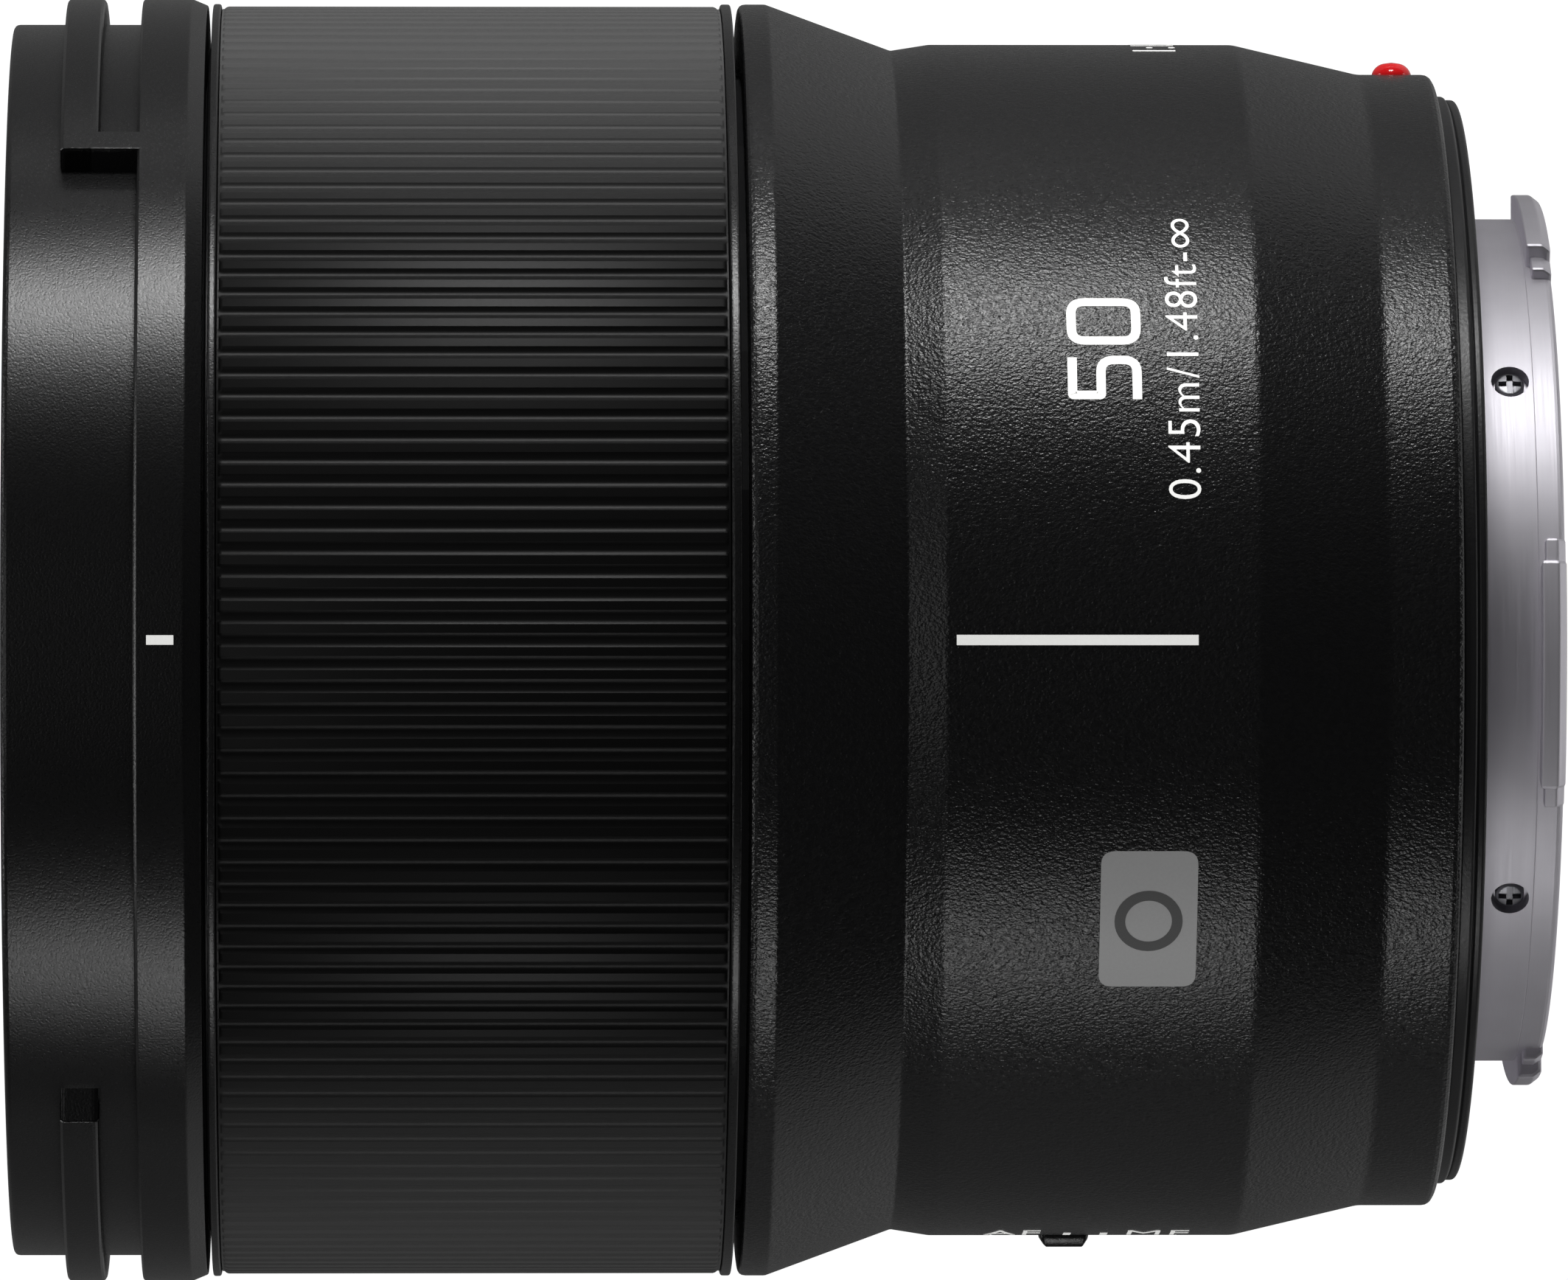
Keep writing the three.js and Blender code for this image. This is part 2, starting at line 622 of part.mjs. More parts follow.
// A rubber sleeve with straight ribs; one rib here stands for four real ones.
function rubberGrip() {
  const pitch = 360 / GRIP.ribs;
  const half = (pitch * GRIP.ribShare) / 2;
  const outline = [];
  for (let i = 0; i < GRIP.ribs; i += 1) {
    const centre = i * pitch;
    const [rootStart, rootEnd] = arc(GRIP.root, centre - half, centre + half, 1);
    outline.push(rootStart, ...arc(GRIP.tip, centre - half, centre + half, 1), rootEnd);
  }
  const shape = new THREE.Shape(outline.map(([x, y]) => new THREE.Vector2(x, y)));
  const hole = arc(GRIP.bore, 360, 0, OUTER_SEGMENTS).slice(0, -1);
  shape.holes.push(new THREE.Path(hole.map(([x, y]) => new THREE.Vector2(x, y))));
  const front = FOCUS_RING.front + FOCUS_RING.lip + FIT_GAP;
  const back = FOCUS_RING.back - FOCUS_RING.lip - FIT_GAP;
  return new THREE.ExtrudeGeometry(shape, { depth: back - front, bevelEnabled: false })
    .rotateX(-Math.PI / 2)
    .translate(0, along(front), 0);
}

function buildFocusRing(lens) {
  const group = subassembly(lens, "focus_ring");
  add(group, "focus_sleeve", focusSleeve(), SATIN_BLACK);
  add(group, "rubber_grip", rubberGrip(), RUBBER);
}

// ---------- glass ----------
// One face of an element, from its flat land in to the axis. A positive rise points to the back.
function lensFace(radius, station, rise) {
  const clear = radius - GLASS_LAND;
  const shares = [1, 0.55, 0];
  return shares.map((share) => [clear * share, station + rise * (1 - share * share)]);
}

function element({ radius, front, back, frontRise, backRise }) {
  const corners = [
    ...lensFace(radius, front, frontRise).reverse(),
    [radius, front],
    [radius, back],
    ...lensFace(radius, back, backRise),
  ];
  return turned(corners, GLASS_SEGMENTS);
}

// ---------- fixed glass cells ----------
function buildFixedOptics(lens) {
  const group = subassembly(lens, "fixed_optics");
  add(group, "front_cell", turned(FRONT_CELL_PROFILE), SATIN_BLACK);
  const { inner, outer, front, back } = FRONT_RETAINER;
  add(group, "front_retainer", ring(inner, outer, front, back), SATIN_BLACK);
  FRONT_GLASS.forEach((glass, i) => add(group, `element_${i + 1}`, element(glass), GLASS));
  add(group, "rear_cell", turned(REAR_CELL_PROFILE), SATIN_BLACK);
  add(group, "element_9", element(REAR_GLASS), GLASS);
}

// ---------- iris ----------
const BLADE_STEP = 360 / IRIS.blades;

// Outline points are drawn with the blade's pivot on the +X axis.
function bladeOutline() {
  const turn = (radius, degrees) => [
    radius * Math.cos(radians(degrees)),
    radius * Math.sin(radians(degrees)),
  ];
  const { span, heel, armHalf } = IRIS_BLADE;
  const steps = 5;
  const tip = IRIS.pivotCircle + IRIS.lever + 0.8;
  const inner = Array.from({ length: steps + 1 }, (_, i) =>
    turn(IRIS.open, -heel + ((span + heel) * i) / steps),
  );
  const first = (Math.asin(armHalf / IRIS.outer) * 180) / Math.PI;
  const outer = Array.from({ length: steps + 1 }, (_, i) =>
    turn(IRIS.outer, span - ((span - first) * i) / steps),
  );
  const arm = [
    [tip, armHalf],
    [tip, -armHalf],
  ];
  return [...inner, ...outer, ...arm, turn(IRIS.outer, -first), turn(IRIS.outer, -heel)];
}

function irisBlade(layer) {
  const front = IRIS_BLADE.front + layer * IRIS_BLADE.layerPitch;
  const back = front + IRIS_BLADE.thickness;
  const pin = (x, from, to) =>
    bar(
      new THREE.Vector3(x, along(from), 0),
      new THREE.Vector3(x, along(to), 0),
      IRIS_PIN,
      8,
    );
  const pivot = pin(IRIS.pivotCircle, IRIS_CUP.front + FIT_GAP, front + 0.1);
  const drive = pin(IRIS.pivotCircle + IRIS.lever, back - 0.1, DRIVE_RING.back - 0.1);
  return joined(raised(bladeOutline(), front, back), [pivot, drive]);
}

// The cup that the blades pivot in; the motor shaft comes in through its floor.
function irisBase() {
  const { front, floor, back, bore, wall, radius } = IRIS_CUP;
  const body = turned([
    [bore, front],
    [radius, front],
    [radius, back],
    [wall, back],
    [wall, floor],
    [bore, floor],
  ]);
  const holes = bladeAngles().map((angle) => {
    const x = IRIS.pivotCircle;
    return bar(
      new THREE.Vector3(x, along(front - 1), 0),
      new THREE.Vector3(x, along(floor + 1), 0),
      IRIS_PIN + FIT_GAP,
      8,
    ).rotateY(radians(angle));
  });
  const shaft = axialBar(
    IRIS_MOTOR.circle,
    IRIS_MOTOR.angle,
    front - 1,
    floor + 1,
    IRIS_MOTOR.shaft + FIT_GAP,
  );
  return cut(body, [...holes, shaft]);
}

function bladeAngles() {
  return Array.from({ length: IRIS.blades }, (_, i) => i * BLADE_STEP);
}

// How far round the drive pin swings between open and closed, seen from the optical axis.
function driveSwing() {
  const swing = radians(IRIS_SWING);
  const across = IRIS.lever * Math.sin(swing);
  const out = IRIS.pivotCircle + IRIS.lever * Math.cos(swing);
  return (Math.atan2(across, out) * 180) / Math.PI;
}

// The ring that turns all the blades; each drive pin sits in a slot open to the rim.
function driveRing() {
  const { front, back, bore, radius, notch, notchSpan } = DRIVE_RING;
  const clear = IRIS_PIN + 0.4;
  const innermost = IRIS.pivotCircle + IRIS.lever * Math.cos(radians(IRIS_SWING)) - clear;
  const outermost = radius + 1;
  const slots = bladeAngles().map((angle) =>
    new THREE.BoxGeometry(outermost - innermost, back - front + 2, 2 * clear)
      .translate((outermost + innermost) / 2, along((front + back) / 2), 0)
      .rotateY(radians(angle)),
  );
  const middle = IRIS_MOTOR.angle + driveSwing() / 2;
  const shaftNotch = sector(
    notch,
    radius + 1,
    middle - notchSpan / 2,
    middle + notchSpan / 2,
    front - 1,
    back + 1,
  );
  return cut(ring(bore, radius, front, back), [...slots, shaftNotch]);
}

function irisMotor() {
  const { circle, radius, front, shaft, angle } = IRIS_MOTOR;
  const body = axialBar(circle, angle, front, IRIS_CUP.front, radius, 16);
  const pinion = axialBar(circle, angle, IRIS_CUP.front - 0.2, DRIVE_RING.back, shaft, 8);
  return joined(body, [pinion]);
}

function buildIris(lens) {
  const group = subassembly(lens, "iris");
  add(group, "iris_base", irisBase(), SATIN_BLACK);
  const cover = ring(IRIS_CUP.bore, IRIS_CUP.radius, IRIS_CUP.back, IRIS_COVER_BACK);
  add(group, "iris_cover", cover, SATIN_BLACK);
  add(group, "iris_motor", irisMotor(), DARK_STEEL);
  add(group, "iris_drive_ring", driveRing(), BRASS);
  bladeAngles().forEach((angle, i) => {
    const blade = add(group, `iris_blade_${i + 1}`, irisBlade(i % IRIS.layers), DARK_STEEL);
    blade.rotation.y = radians(angle);
  });
}

// ---------- moving focus group ----------
function focusCell() {
  const steps = MOVING_GLASS.flatMap(({ radius, front }, i) => {
    const bore = i === 0 ? FOCUS_CELL.throat : MOVING_GLASS[i - 1].radius + FIT_GAP;
    return [
      [bore, front],
      [radius + FIT_GAP, front],
    ];
  });
  const last = MOVING_GLASS[MOVING_GLASS.length - 1].radius + FIT_GAP;
  const inside = [[FOCUS_CELL.throat, FOCUS_CELL.front], ...steps, [last, FOCUS_CELL.back]].reverse();
  const body = turned([
    [FOCUS_CELL.radius, FOCUS_CELL.front],
    [FOCUS_CELL.radius, FOCUS_CELL.back],
    ...inside,
  ]);
  const [rodPhi, forkPhi] = ROD.angles;
  const rodBushing = axialBar(SLIDE_CIRCLE, rodPhi, BUSHING.front, BUSHING.back, BUSHING.radius, 12);
  const arm = (tip, { halfWidth, front, back }, phi) =>
    radialBlock(FOCUS_CELL.armRoot, tip, halfWidth, phi, front, back);
  const web = arm(SLIDE_CIRCLE, BUSHING_WEB, rodPhi);
  const fork = arm(FORK.tip, FORK, forkPhi);
  const nutArm = arm(NUT_ARM.tip, NUT_ARM, LEAD_SCREW.angle);
  const forkSlot = radialBlock(
    SLIDE_CIRCLE - ROD.radius - 0.5,
    FORK.tip + 1,
    ROD.radius + 0.4,
    forkPhi,
    FORK.front - 1,
    FORK.back + 1,
  );
  const rodBore = axialBar(
    SLIDE_CIRCLE,
    rodPhi,
    BUSHING.front - 1,
    BUSHING.back + 1,
    BUSHING.bore,
  );
  const nutBore = axialBar(
    SLIDE_CIRCLE,
    LEAD_SCREW.angle,
    NUT_ARM.front - 1,
    NUT_ARM.back + 1,
    NUT_ARM.bore,
  );
  return cut(joined(body, [rodBushing, web, fork, nutArm]), [forkSlot, rodBore, nutBore]);
}

// The nut stands on the optical axis and is placed on the lead screw.
function leadNut() {
  return turned(
    [
      [LEAD_NUT.bore, NUT_ARM.front],
      [LEAD_NUT.radius, NUT_ARM.front],
      [LEAD_NUT.radius, NUT_ARM.back],
      [LEAD_NUT.flange, NUT_ARM.back],
      [LEAD_NUT.flange, LEAD_NUT.back],
      [LEAD_NUT.bore, LEAD_NUT.back],
    ],
    PIN_SEGMENTS,
  );
}

function focusMotor() {
  const { radius, front, shaftHole, holeDepth } = FOCUS_MOTOR;
  const can = axialBar(SLIDE_CIRCLE, LEAD_SCREW.angle, front, BULKHEAD.front, radius, 20);
  const hole = axialBar(
    SLIDE_CIRCLE,
    LEAD_SCREW.angle,
    front - 1,
    front + holeDepth,
    shaftHole,
  );
  return cut(can, [hole]);
}

function buildFocusGroup(lens) {
  const group = subassembly(lens, "focus_group");
  add(group, "focus_cell", focusCell(), SATIN_BLACK);
  MOVING_GLASS.forEach((glass, i) => add(group, `element_${i + 5}`, element(glass), GLASS));
  const nut = add(group, "lead_nut", leadNut(), BRASS);
  nut.position.copy(onLens(SLIDE_CIRCLE, LEAD_SCREW.angle, MID_STATION));
  const { radius, front, back, angle } = LEAD_SCREW;
  add(group, "lead_screw", axialBar(SLIDE_CIRCLE, angle, front, back, radius), STEEL);
  add(group, "focus_motor", focusMotor(), DARK_STEEL);
}

// ---------- the lens ----------
const lens = new THREE.Group();
lens.name = "prime_lens";
buildFront(lens);
buildCore(lens);
buildBarrel(lens);
buildMount(lens);
buildFocusRing(lens);
buildFixedOptics(lens);
buildIris(lens);
buildFocusGroup(lens);

export default lens;
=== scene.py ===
"""A fifty millimetre prime lens lying on a pale table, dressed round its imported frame.

The lens axis is +Y, with the front rim at low Y and the top of the lens at +Z.
A station is a distance in millimetres behind the front rim, radii are in millimetres,
and phi is an angle in degrees from the top, positive towards -X.
"""

import json
import math

import bmesh
import bpy
import numpy as np
from mathutils import Matrix, Vector


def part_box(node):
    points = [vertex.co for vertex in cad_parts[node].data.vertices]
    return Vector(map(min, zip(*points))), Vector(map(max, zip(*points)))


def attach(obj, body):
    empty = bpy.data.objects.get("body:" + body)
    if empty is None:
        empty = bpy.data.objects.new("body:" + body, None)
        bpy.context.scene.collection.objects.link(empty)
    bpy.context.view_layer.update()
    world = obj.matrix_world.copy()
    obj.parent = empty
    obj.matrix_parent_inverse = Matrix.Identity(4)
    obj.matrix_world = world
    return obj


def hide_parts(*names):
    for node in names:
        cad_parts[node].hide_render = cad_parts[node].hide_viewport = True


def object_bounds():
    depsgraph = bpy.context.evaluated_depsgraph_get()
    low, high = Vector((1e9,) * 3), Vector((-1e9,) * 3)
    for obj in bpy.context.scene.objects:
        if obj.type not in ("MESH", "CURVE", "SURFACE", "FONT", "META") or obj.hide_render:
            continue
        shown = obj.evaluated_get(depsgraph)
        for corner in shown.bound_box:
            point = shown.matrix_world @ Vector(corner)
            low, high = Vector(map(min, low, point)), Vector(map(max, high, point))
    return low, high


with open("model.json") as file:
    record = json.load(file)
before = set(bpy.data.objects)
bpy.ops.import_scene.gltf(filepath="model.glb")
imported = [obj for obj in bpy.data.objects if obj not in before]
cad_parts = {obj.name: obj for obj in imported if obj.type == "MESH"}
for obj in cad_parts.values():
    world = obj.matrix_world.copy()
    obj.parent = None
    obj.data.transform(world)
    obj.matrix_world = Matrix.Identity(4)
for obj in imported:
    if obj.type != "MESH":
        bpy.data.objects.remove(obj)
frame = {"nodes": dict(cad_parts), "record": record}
CAD_LOW, CAD_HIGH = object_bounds()

MM = 0.001
FRONT_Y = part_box("front_ring")[0].y
TABLE_Z = CAD_LOW.z
ROUND = 256
MIDDLE_ROUND = 128
GLASS_ROUND = 96
SMALL_ROUND = 48
FILLET_STEPS = 4


# ---------- places on the lens ----------
def place(radius, phi, station):
    a = math.radians(phi)
    return Vector((-radius * math.sin(a) * MM, FRONT_Y + station * MM, radius * math.cos(a) * MM))


def degrees_along(length, radius):
    return math.degrees(length / radius)


def outward_at(phi):
    return place(1, phi, 0) - place(0, phi, 0)


def side_directions(phi):
    """Unit vectors away from the axis and across the lens side, at phi."""
    a = math.radians(phi)
    return Vector((-math.sin(a), 0, math.cos(a))), Vector((-math.cos(a), 0, -math.sin(a)))


# ---------- mesh helpers ----------
WELD = 1e-7


def linked(name, data):
    """A new object that stands in the scene."""
    obj = bpy.data.objects.new(name, data)
    bpy.context.scene.collection.objects.link(obj)
    return obj


def new_object(name, verts, faces):
    mesh = bpy.data.meshes.new(name)
    mesh.from_pydata([tuple(v) for v in verts], [], faces)
    return linked(name, mesh)


def tidy_mesh(obj):
    """Welds doubled points and turns every face outwards."""
    bm = bmesh.new()
    bm.from_mesh(obj.data)
    bmesh.ops.remove_doubles(bm, verts=bm.verts, dist=WELD)
    bmesh.ops.recalc_face_normals(bm, faces=bm.faces)
    bm.to_mesh(obj.data)
    bm.free()
    return obj


def fillet(corners, closed=True, steps=FILLET_STEPS):
    """Rounds each (x, y, radius) corner of a polyline, and returns plain (x, y) points."""
    count = len(corners)
    points = []
    for i, (x, y, radius) in enumerate(corners):
        ends = not closed and i in (0, count - 1)
        if radius <= 0 or ends:
            points.append((x, y))
            continue
        corner = np.array((x, y))
        before = np.array(corners[i - 1][:2]) - corner
        after = np.array(corners[(i + 1) % count][:2]) - corner
        reach = min(radius, 0.48 * np.linalg.norm(before), 0.48 * np.linalg.norm(after))
        start = corner + before / np.linalg.norm(before) * reach
        end = corner + after / np.linalg.norm(after) * reach
        for k in range(steps + 1):
            t = k / steps
            p = (1 - t) ** 2 * start + 2 * t * (1 - t) * corner + t * t * end
            points.append((float(p[0]), float(p[1])))
    return points


def band(a, b, count, closed=True):
    """The quads between two rows of count points that start at a and b."""
    steps = [(k, (k + 1) % count) for k in range(count if closed else count - 1)]
    return [(a + k, b + k, b + m, a + m) for k, m in steps]


def revolved(name, profile, segments, spot, closed):
    """A profile carried round a full turn; spot(radius, i, height) places a point of segment i."""
    count = len(profile)
    verts = [spot(radius, i, height) for i in range(segments) for radius, height in profile]
    faces = []
    for i in range(segments):
        faces += band(i * count, (i + 1) % segments * count, count, closed)
    return tidy_mesh(new_object(name, verts, faces))


def turned(name, corners, segments=ROUND, on_axis=False):
    """A solid of revolution about the lens axis from (radius, station, fillet) corners."""
    profile = fillet(corners, closed=not on_axis)

    def spot(radius, i, station):
        return place(radius, 360 * i / segments, station)

    return revolved(name, profile, segments, spot, not on_axis)


def lofted(name, rows):
    """A solid through rows of the same number of points, capped at both ends."""
    count = len(rows[0])
    verts = [point for row in rows for point in row]
    faces = []
    for i in range(len(rows) - 1):
        faces += band(i * count, (i + 1) * count, count)
    faces.append(tuple(range(count)))
    faces.append(tuple(range(len(verts) - count, len(verts))))
    return tidy_mesh(new_object(name, verts, faces))


def swept(name, corners, start, end, soften, step=1.5, slope=None):
    """A block whose (radius, station, fillet) section runs round the lens from phi start to end.

    soften is how far the section shrinks at each end. slope is (degrees before the start,
    degrees after the end, radius it runs down to).
    """
    section = np.array(fillet(corners))
    centre = (section.max(0) + section.min(0)) / 2
    half = (section.max(0) - section.min(0)) / 2
    mean = float(section[:, 0].mean())
    lip = degrees_along(soften, mean)
    inner = max(2, math.ceil((end - start - 2 * lip) / step))
    slices = [(start, 1.0), (start + 0.3 * lip, 0.3)]
    slices += [(start + lip + (end - start - 2 * lip) * i / inner, 0.0) for i in range(inner + 1)]
    slices += [(end - 0.3 * lip, 0.3), (end, 1.0)]
    rows = []
    for phi, inset in slices:
        scale = 1 - inset * soften / half
        rows.append([place(r, phi, s) for r, s in centre + (section - centre) * scale])
    if slope:
        before, after, foot = slope
        low = centre + (section - centre) * (1 - soften / half)
        low[:, 0] = np.minimum(low[:, 0], foot)
        rows.insert(0, [place(r, start - before, s) for r, s in low])
        rows.append([place(r, end + after, s) for r, s in low])
    return lofted(name, rows)


def joined(name, *objs):
    """The objects as one, with every island kept closed."""
    bm = bmesh.new()
    for obj in objs:
        bm.from_mesh(obj.data)
        bpy.data.objects.remove(obj)
    mesh = bpy.data.meshes.new(name)
    bm.to_mesh(mesh)
    bm.free()
    return linked(name, mesh)


def cut(obj, *tools):
    """Cuts the tools out of obj."""
    for tool in tools:
        modifier = obj.modifiers.new("cut", "BOOLEAN")
        modifier.object = tool
        modifier.operation = "DIFFERENCE"
        modifier.solver = "EXACT"
    graph = bpy.context.evaluated_depsgraph_get()
    carved = bpy.data.meshes.new_from_object(obj.evaluated_get(graph))
    obj.modifiers.clear()
    obj.data = carved
    for tool in tools:
        bpy.data.objects.remove(tool)
    return obj


def block(name, inner, outer, half_width, phi, front, back):
    """A square-cornered block standing on the radius line at phi."""
    verts = []
    outward, across = side_directions(phi)
    for radius in (inner, outer):
        for side in (-half_width, half_width):
            for station in (front, back):
                foot = outward * radius * MM + across * side * MM
                verts.append(foot + Vector((0, FRONT_Y + station * MM, 0)))
    faces = [(0, 1, 3, 2), (4, 6, 7, 5), (0, 4, 5, 1), (2, 3, 7, 6), (0, 2, 6, 4), (1, 5, 7, 3)]
    return tidy_mesh(new_object(name, verts, faces))


def turn_to(axis):
    """The rotation that stands the z direction along axis."""
    return Vector((0, 0, 1)).rotation_difference(Vector(axis)).to_matrix()


def standing(name, corners, base, axis, steps=3):
    """A solid of revolution from (radius, height, fillet) corners, stood on base along axis."""
    profile = fillet(corners, closed=False, steps=steps)
    turn = turn_to(axis)

    def spot(radius, i, height):
        a = 2 * math.pi * i / SMALL_ROUND
        point = Vector((radius * math.cos(a), radius * math.sin(a), height))
        return Vector(base) + turn @ point * MM

    return revolved(name, profile, SMALL_ROUND, spot, closed=False)


def rod(radius, length, base, axis):
    """A plain cylinder to cut with."""
    corners = [(0, 0, 0), (radius, 0, 0), (radius, length, 0), (0, length, 0)]
    return standing("rod", corners, base, axis)


# ---------- shading normals ----------
ROUND_TILT = 0.05


def shade_round(obj):
    """Shades faces turned about the lens axis as true rounds and leaves every other face flat."""
    mesh = obj.data
    count = len(mesh.polygons)
    normals = np.empty(count * 3)
    centres = np.empty(count * 3)
    starts = np.empty(count, int)
    totals = np.empty(count, int)
    mesh.polygons.foreach_get("normal", normals)
    mesh.polygons.foreach_get("center", centres)
    mesh.polygons.foreach_get("loop_start", starts)
    mesh.polygons.foreach_get("loop_total", totals)
    normals, centres = normals.reshape(-1, 3), centres.reshape(-1, 3)
    coords = np.empty(len(mesh.vertices) * 3)
    mesh.vertices.foreach_get("co", coords)
    corners = np.empty(len(mesh.loops), int)
    mesh.loops.foreach_get("vertex_index", corners)
    points = coords.reshape(-1, 3)[corners]
    face = np.repeat(np.arange(count), totals)
    order = np.argsort(np.repeat(starts, totals), kind="stable")
    face = face[order]
    reach = np.hypot(centres[:, 0], centres[:, 2])
    safe = np.maximum(reach, 1e-9)
    radial = np.stack((centres[:, 0] / safe, np.zeros(count), centres[:, 2] / safe), 1)
    tangent = np.stack((-radial[:, 2], np.zeros(count), radial[:, 0]), 1)
    outward = (normals * radial).sum(1)
    sideways = (normals * tangent).sum(1)
    is_round = (np.abs(sideways) < ROUND_TILT) & (reach > MM)
    length = np.maximum(np.hypot(points[:, 0], points[:, 2]), 1e-9)
    exact = np.stack(
        (
            points[:, 0] / length * outward[face],
            normals[face, 1],
            points[:, 2] / length * outward[face],
        ),
        1,
    )
    exact /= np.linalg.norm(exact, axis=1, keepdims=True)
    chosen = np.where(is_round[face, None], exact, normals[face])
    mesh.polygons.foreach_set("use_smooth", np.ones(count, bool))
    mesh.normals_split_custom_set(chosen.tolist())
    return obj


def shade_smooth(obj, crease=38):
    mesh = obj.data
    mesh.polygons.foreach_set("use_smooth", np.ones(len(mesh.polygons), bool))
    mesh.set_sharp_from_angle(angle=math.radians(crease))
    return obj


# ---------- materials ----------
def shader_nodes(name):
    material = bpy.data.materials.new(name)
    material.use_nodes = True
    tree = material.node_tree
    return material, tree, tree.nodes["Principled BSDF"]


def add_node(tree, kind, **inputs):
    node = tree.nodes.new(kind)
    for key, value in inputs.items():
        node.inputs[key.replace("_", " ")].default_value = value
    return node


def lens_coordinates(tree, stretch=(1, 1, 1)):
    where = tree.nodes.new("ShaderNodeTexCoord")
    mapping = tree.nodes.new("ShaderNodeMapping")
    mapping.inputs["Scale"].default_value = [1000 * s for s in stretch]
    tree.links.new(where.outputs["Object"], mapping.inputs["Vector"])
    return mapping.outputs["Vector"]


def map_range(tree, value, start, end, low=0.0, high=1.0):
    """Turns start to end into low to high, and holds the ends."""
    node = add_node(tree, "ShaderNodeMapRange", From_Min=start, From_Max=end)
    node.inputs["To Min"].default_value = low
    node.inputs["To Max"].default_value = high
    tree.links.new(value, node.inputs["Value"])
    return node.outputs["Result"]


def spread(tree, value, low, high):
    """Turns a 0 to 1 texture into low to high."""
    return map_range(tree, value, 0.0, 1.0, low, high)


def maths(tree, operation, first, second=None, kind="Math", output="Value"):
    """The named output of a Math or VectorMath node; second is a link or a plain value."""
    node = tree.nodes.new(f"ShaderNode{kind}")
    node.operation = operation
    tree.links.new(first, node.inputs[0])
    if isinstance(second, bpy.types.NodeSocket):
        tree.links.new(second, node.inputs[1])
    elif second is not None:
        node.inputs[1].default_value = second
    return node.outputs[output]


def noise(tree, vector, scale, detail=3, distortion=0.0):
    node = add_node(tree, "ShaderNodeTexNoise", Scale=scale, Detail=detail, Distortion=distortion)
    tree.links.new(vector, node.inputs["Vector"])
    return node.outputs["Fac"]


def bump(tree, shader, layers):
    """Stacks bump layers of (height, depth in millimetres, strength)."""
    previous = None
    for height, depth, strength in layers:
        node = add_node(tree, "ShaderNodeBump", Strength=strength, Distance=depth * MM)
        tree.links.new(height, node.inputs["Height"])
        if previous:
            tree.links.new(previous, node.inputs["Normal"])
        previous = node.outputs["Normal"]
    tree.links.new(previous, shader.inputs["Normal"])


def tinted(tree, shader, colour, value, dark, light):
    """Varies the base colour between dark and light shares of it."""
    ramp = tree.nodes.new("ShaderNodeMix")
    ramp.data_type = "RGBA"
    ramp.inputs["A"].default_value = (*[c * dark for c in colour], 1)
    ramp.inputs["B"].default_value = (*[c * light for c in colour], 1)
    tree.links.new(value, ramp.inputs["Factor"])
    tree.links.new(ramp.outputs["Result"], shader.inputs["Base Color"])


def plastic(name, colour, roughness, grain=0.25, depth=0.01, mottled=0.15):
    """Moulded plastic or rubber: a fine random grain and a slightly uneven sheen."""
    material, tree, shader = shader_nodes(name)
    where = lens_coordinates(tree)
    fine = noise(tree, where, 1 / grain, 2)
    broad = noise(tree, where, 0.22, 3)
    tinted(tree, shader, colour, broad, 1 - mottled, 1 + mottled)
    rough = spread(tree, fine, roughness - 0.06, roughness + 0.06)
    tree.links.new(rough, shader.inputs["Roughness"])
    bump(tree, shader, [(fine, depth, 1.0)])
    return material


def ribbed_rubber(name, roughness):
    """Smooth black rubber with a painted sheen, a lift of its colour that grows towards its edges
    as the surface turns from the view.
    """
    material, tree, shader = shader_nodes(name)
    where = lens_coordinates(tree)
    outward = maths(tree, "MULTIPLY", where, (1, 0, 1), "VectorMath", "Vector")
    unit = maths(tree, "NORMALIZE", outward, kind="VectorMath", output="Vector")
    incoming = tree.nodes.new("ShaderNodeNewGeometry").outputs["Incoming"]
    seen = maths(tree, "DOT_PRODUCT", unit, incoming, "VectorMath")
    fine = noise(tree, where, 8.0, 2)
    # painted sheen: the base colour brightens from 0.004 facing the view to 0.06 at grazing angles,
    # standing in for light caught towards the edges
    painted_sheen = map_range(tree, seen, 0.8, 0.36, 0.004, 0.06)
    shade = maths(tree, "MULTIPLY", painted_sheen, spread(tree, fine, 0.85, 1.15))
    tree.links.new(shade, shader.inputs["Base Color"])
    shader.inputs["Specular IOR Level"].default_value = 0.14
    rough = spread(tree, fine, roughness - 0.03, roughness + 0.03)
    tree.links.new(rough, shader.inputs["Roughness"])
    bump(tree, shader, [(fine, 0.003, 0.6)])
    return material


def leather_grain(name, colour, roughness):
    """The barrel's moulded finish: low flat scales with fine creases between them."""
    material, tree, shader = shader_nodes(name)
    where = lens_coordinates(tree, (1, 0.75, 1))
    wander = noise(tree, where, 3.6, 3, 0.5)
    scales = add_node(tree, "ShaderNodeTexVoronoi", Scale=6.2, Detail=1.0, Roughness=0.6)
    scales.feature = "SMOOTH_F1"
    tree.links.new(where, scales.inputs["Vector"])
    fine = noise(tree, where, 11.0, 2)
    tinted(tree, shader, colour, fine, 0.8, 1.2)
    rough = spread(tree, wander, roughness - 0.1, roughness + 0.1)
    tree.links.new(rough, shader.inputs["Roughness"])
    layers = [(scales.outputs["Distance"], 0.033, 0.75), (wander, 0.02, 0.7), (fine, 0.006, 0.8)]
    bump(tree, shader, layers)
    return material


def metal(name, colour, roughness, brushed=0.02):
    """Turned metal: fine marks that run round the lens axis."""
    material, tree, shader = shader_nodes(name)
    where = lens_coordinates(tree, (0.12, 6.0, 0.12))
    marks = noise(tree, where, 1.6, 3)
    cloud = noise(tree, lens_coordinates(tree), 0.35, 3)
    tinted(tree, shader, colour, cloud, 0.92, 1.05)
    rough = spread(tree, marks, roughness - 0.07, roughness + 0.07)
    tree.links.new(rough, shader.inputs["Roughness"])
    shader.inputs["Metallic"].default_value = 1.0
    bump(tree, shader, [(marks, brushed, 0.5)])
    return material


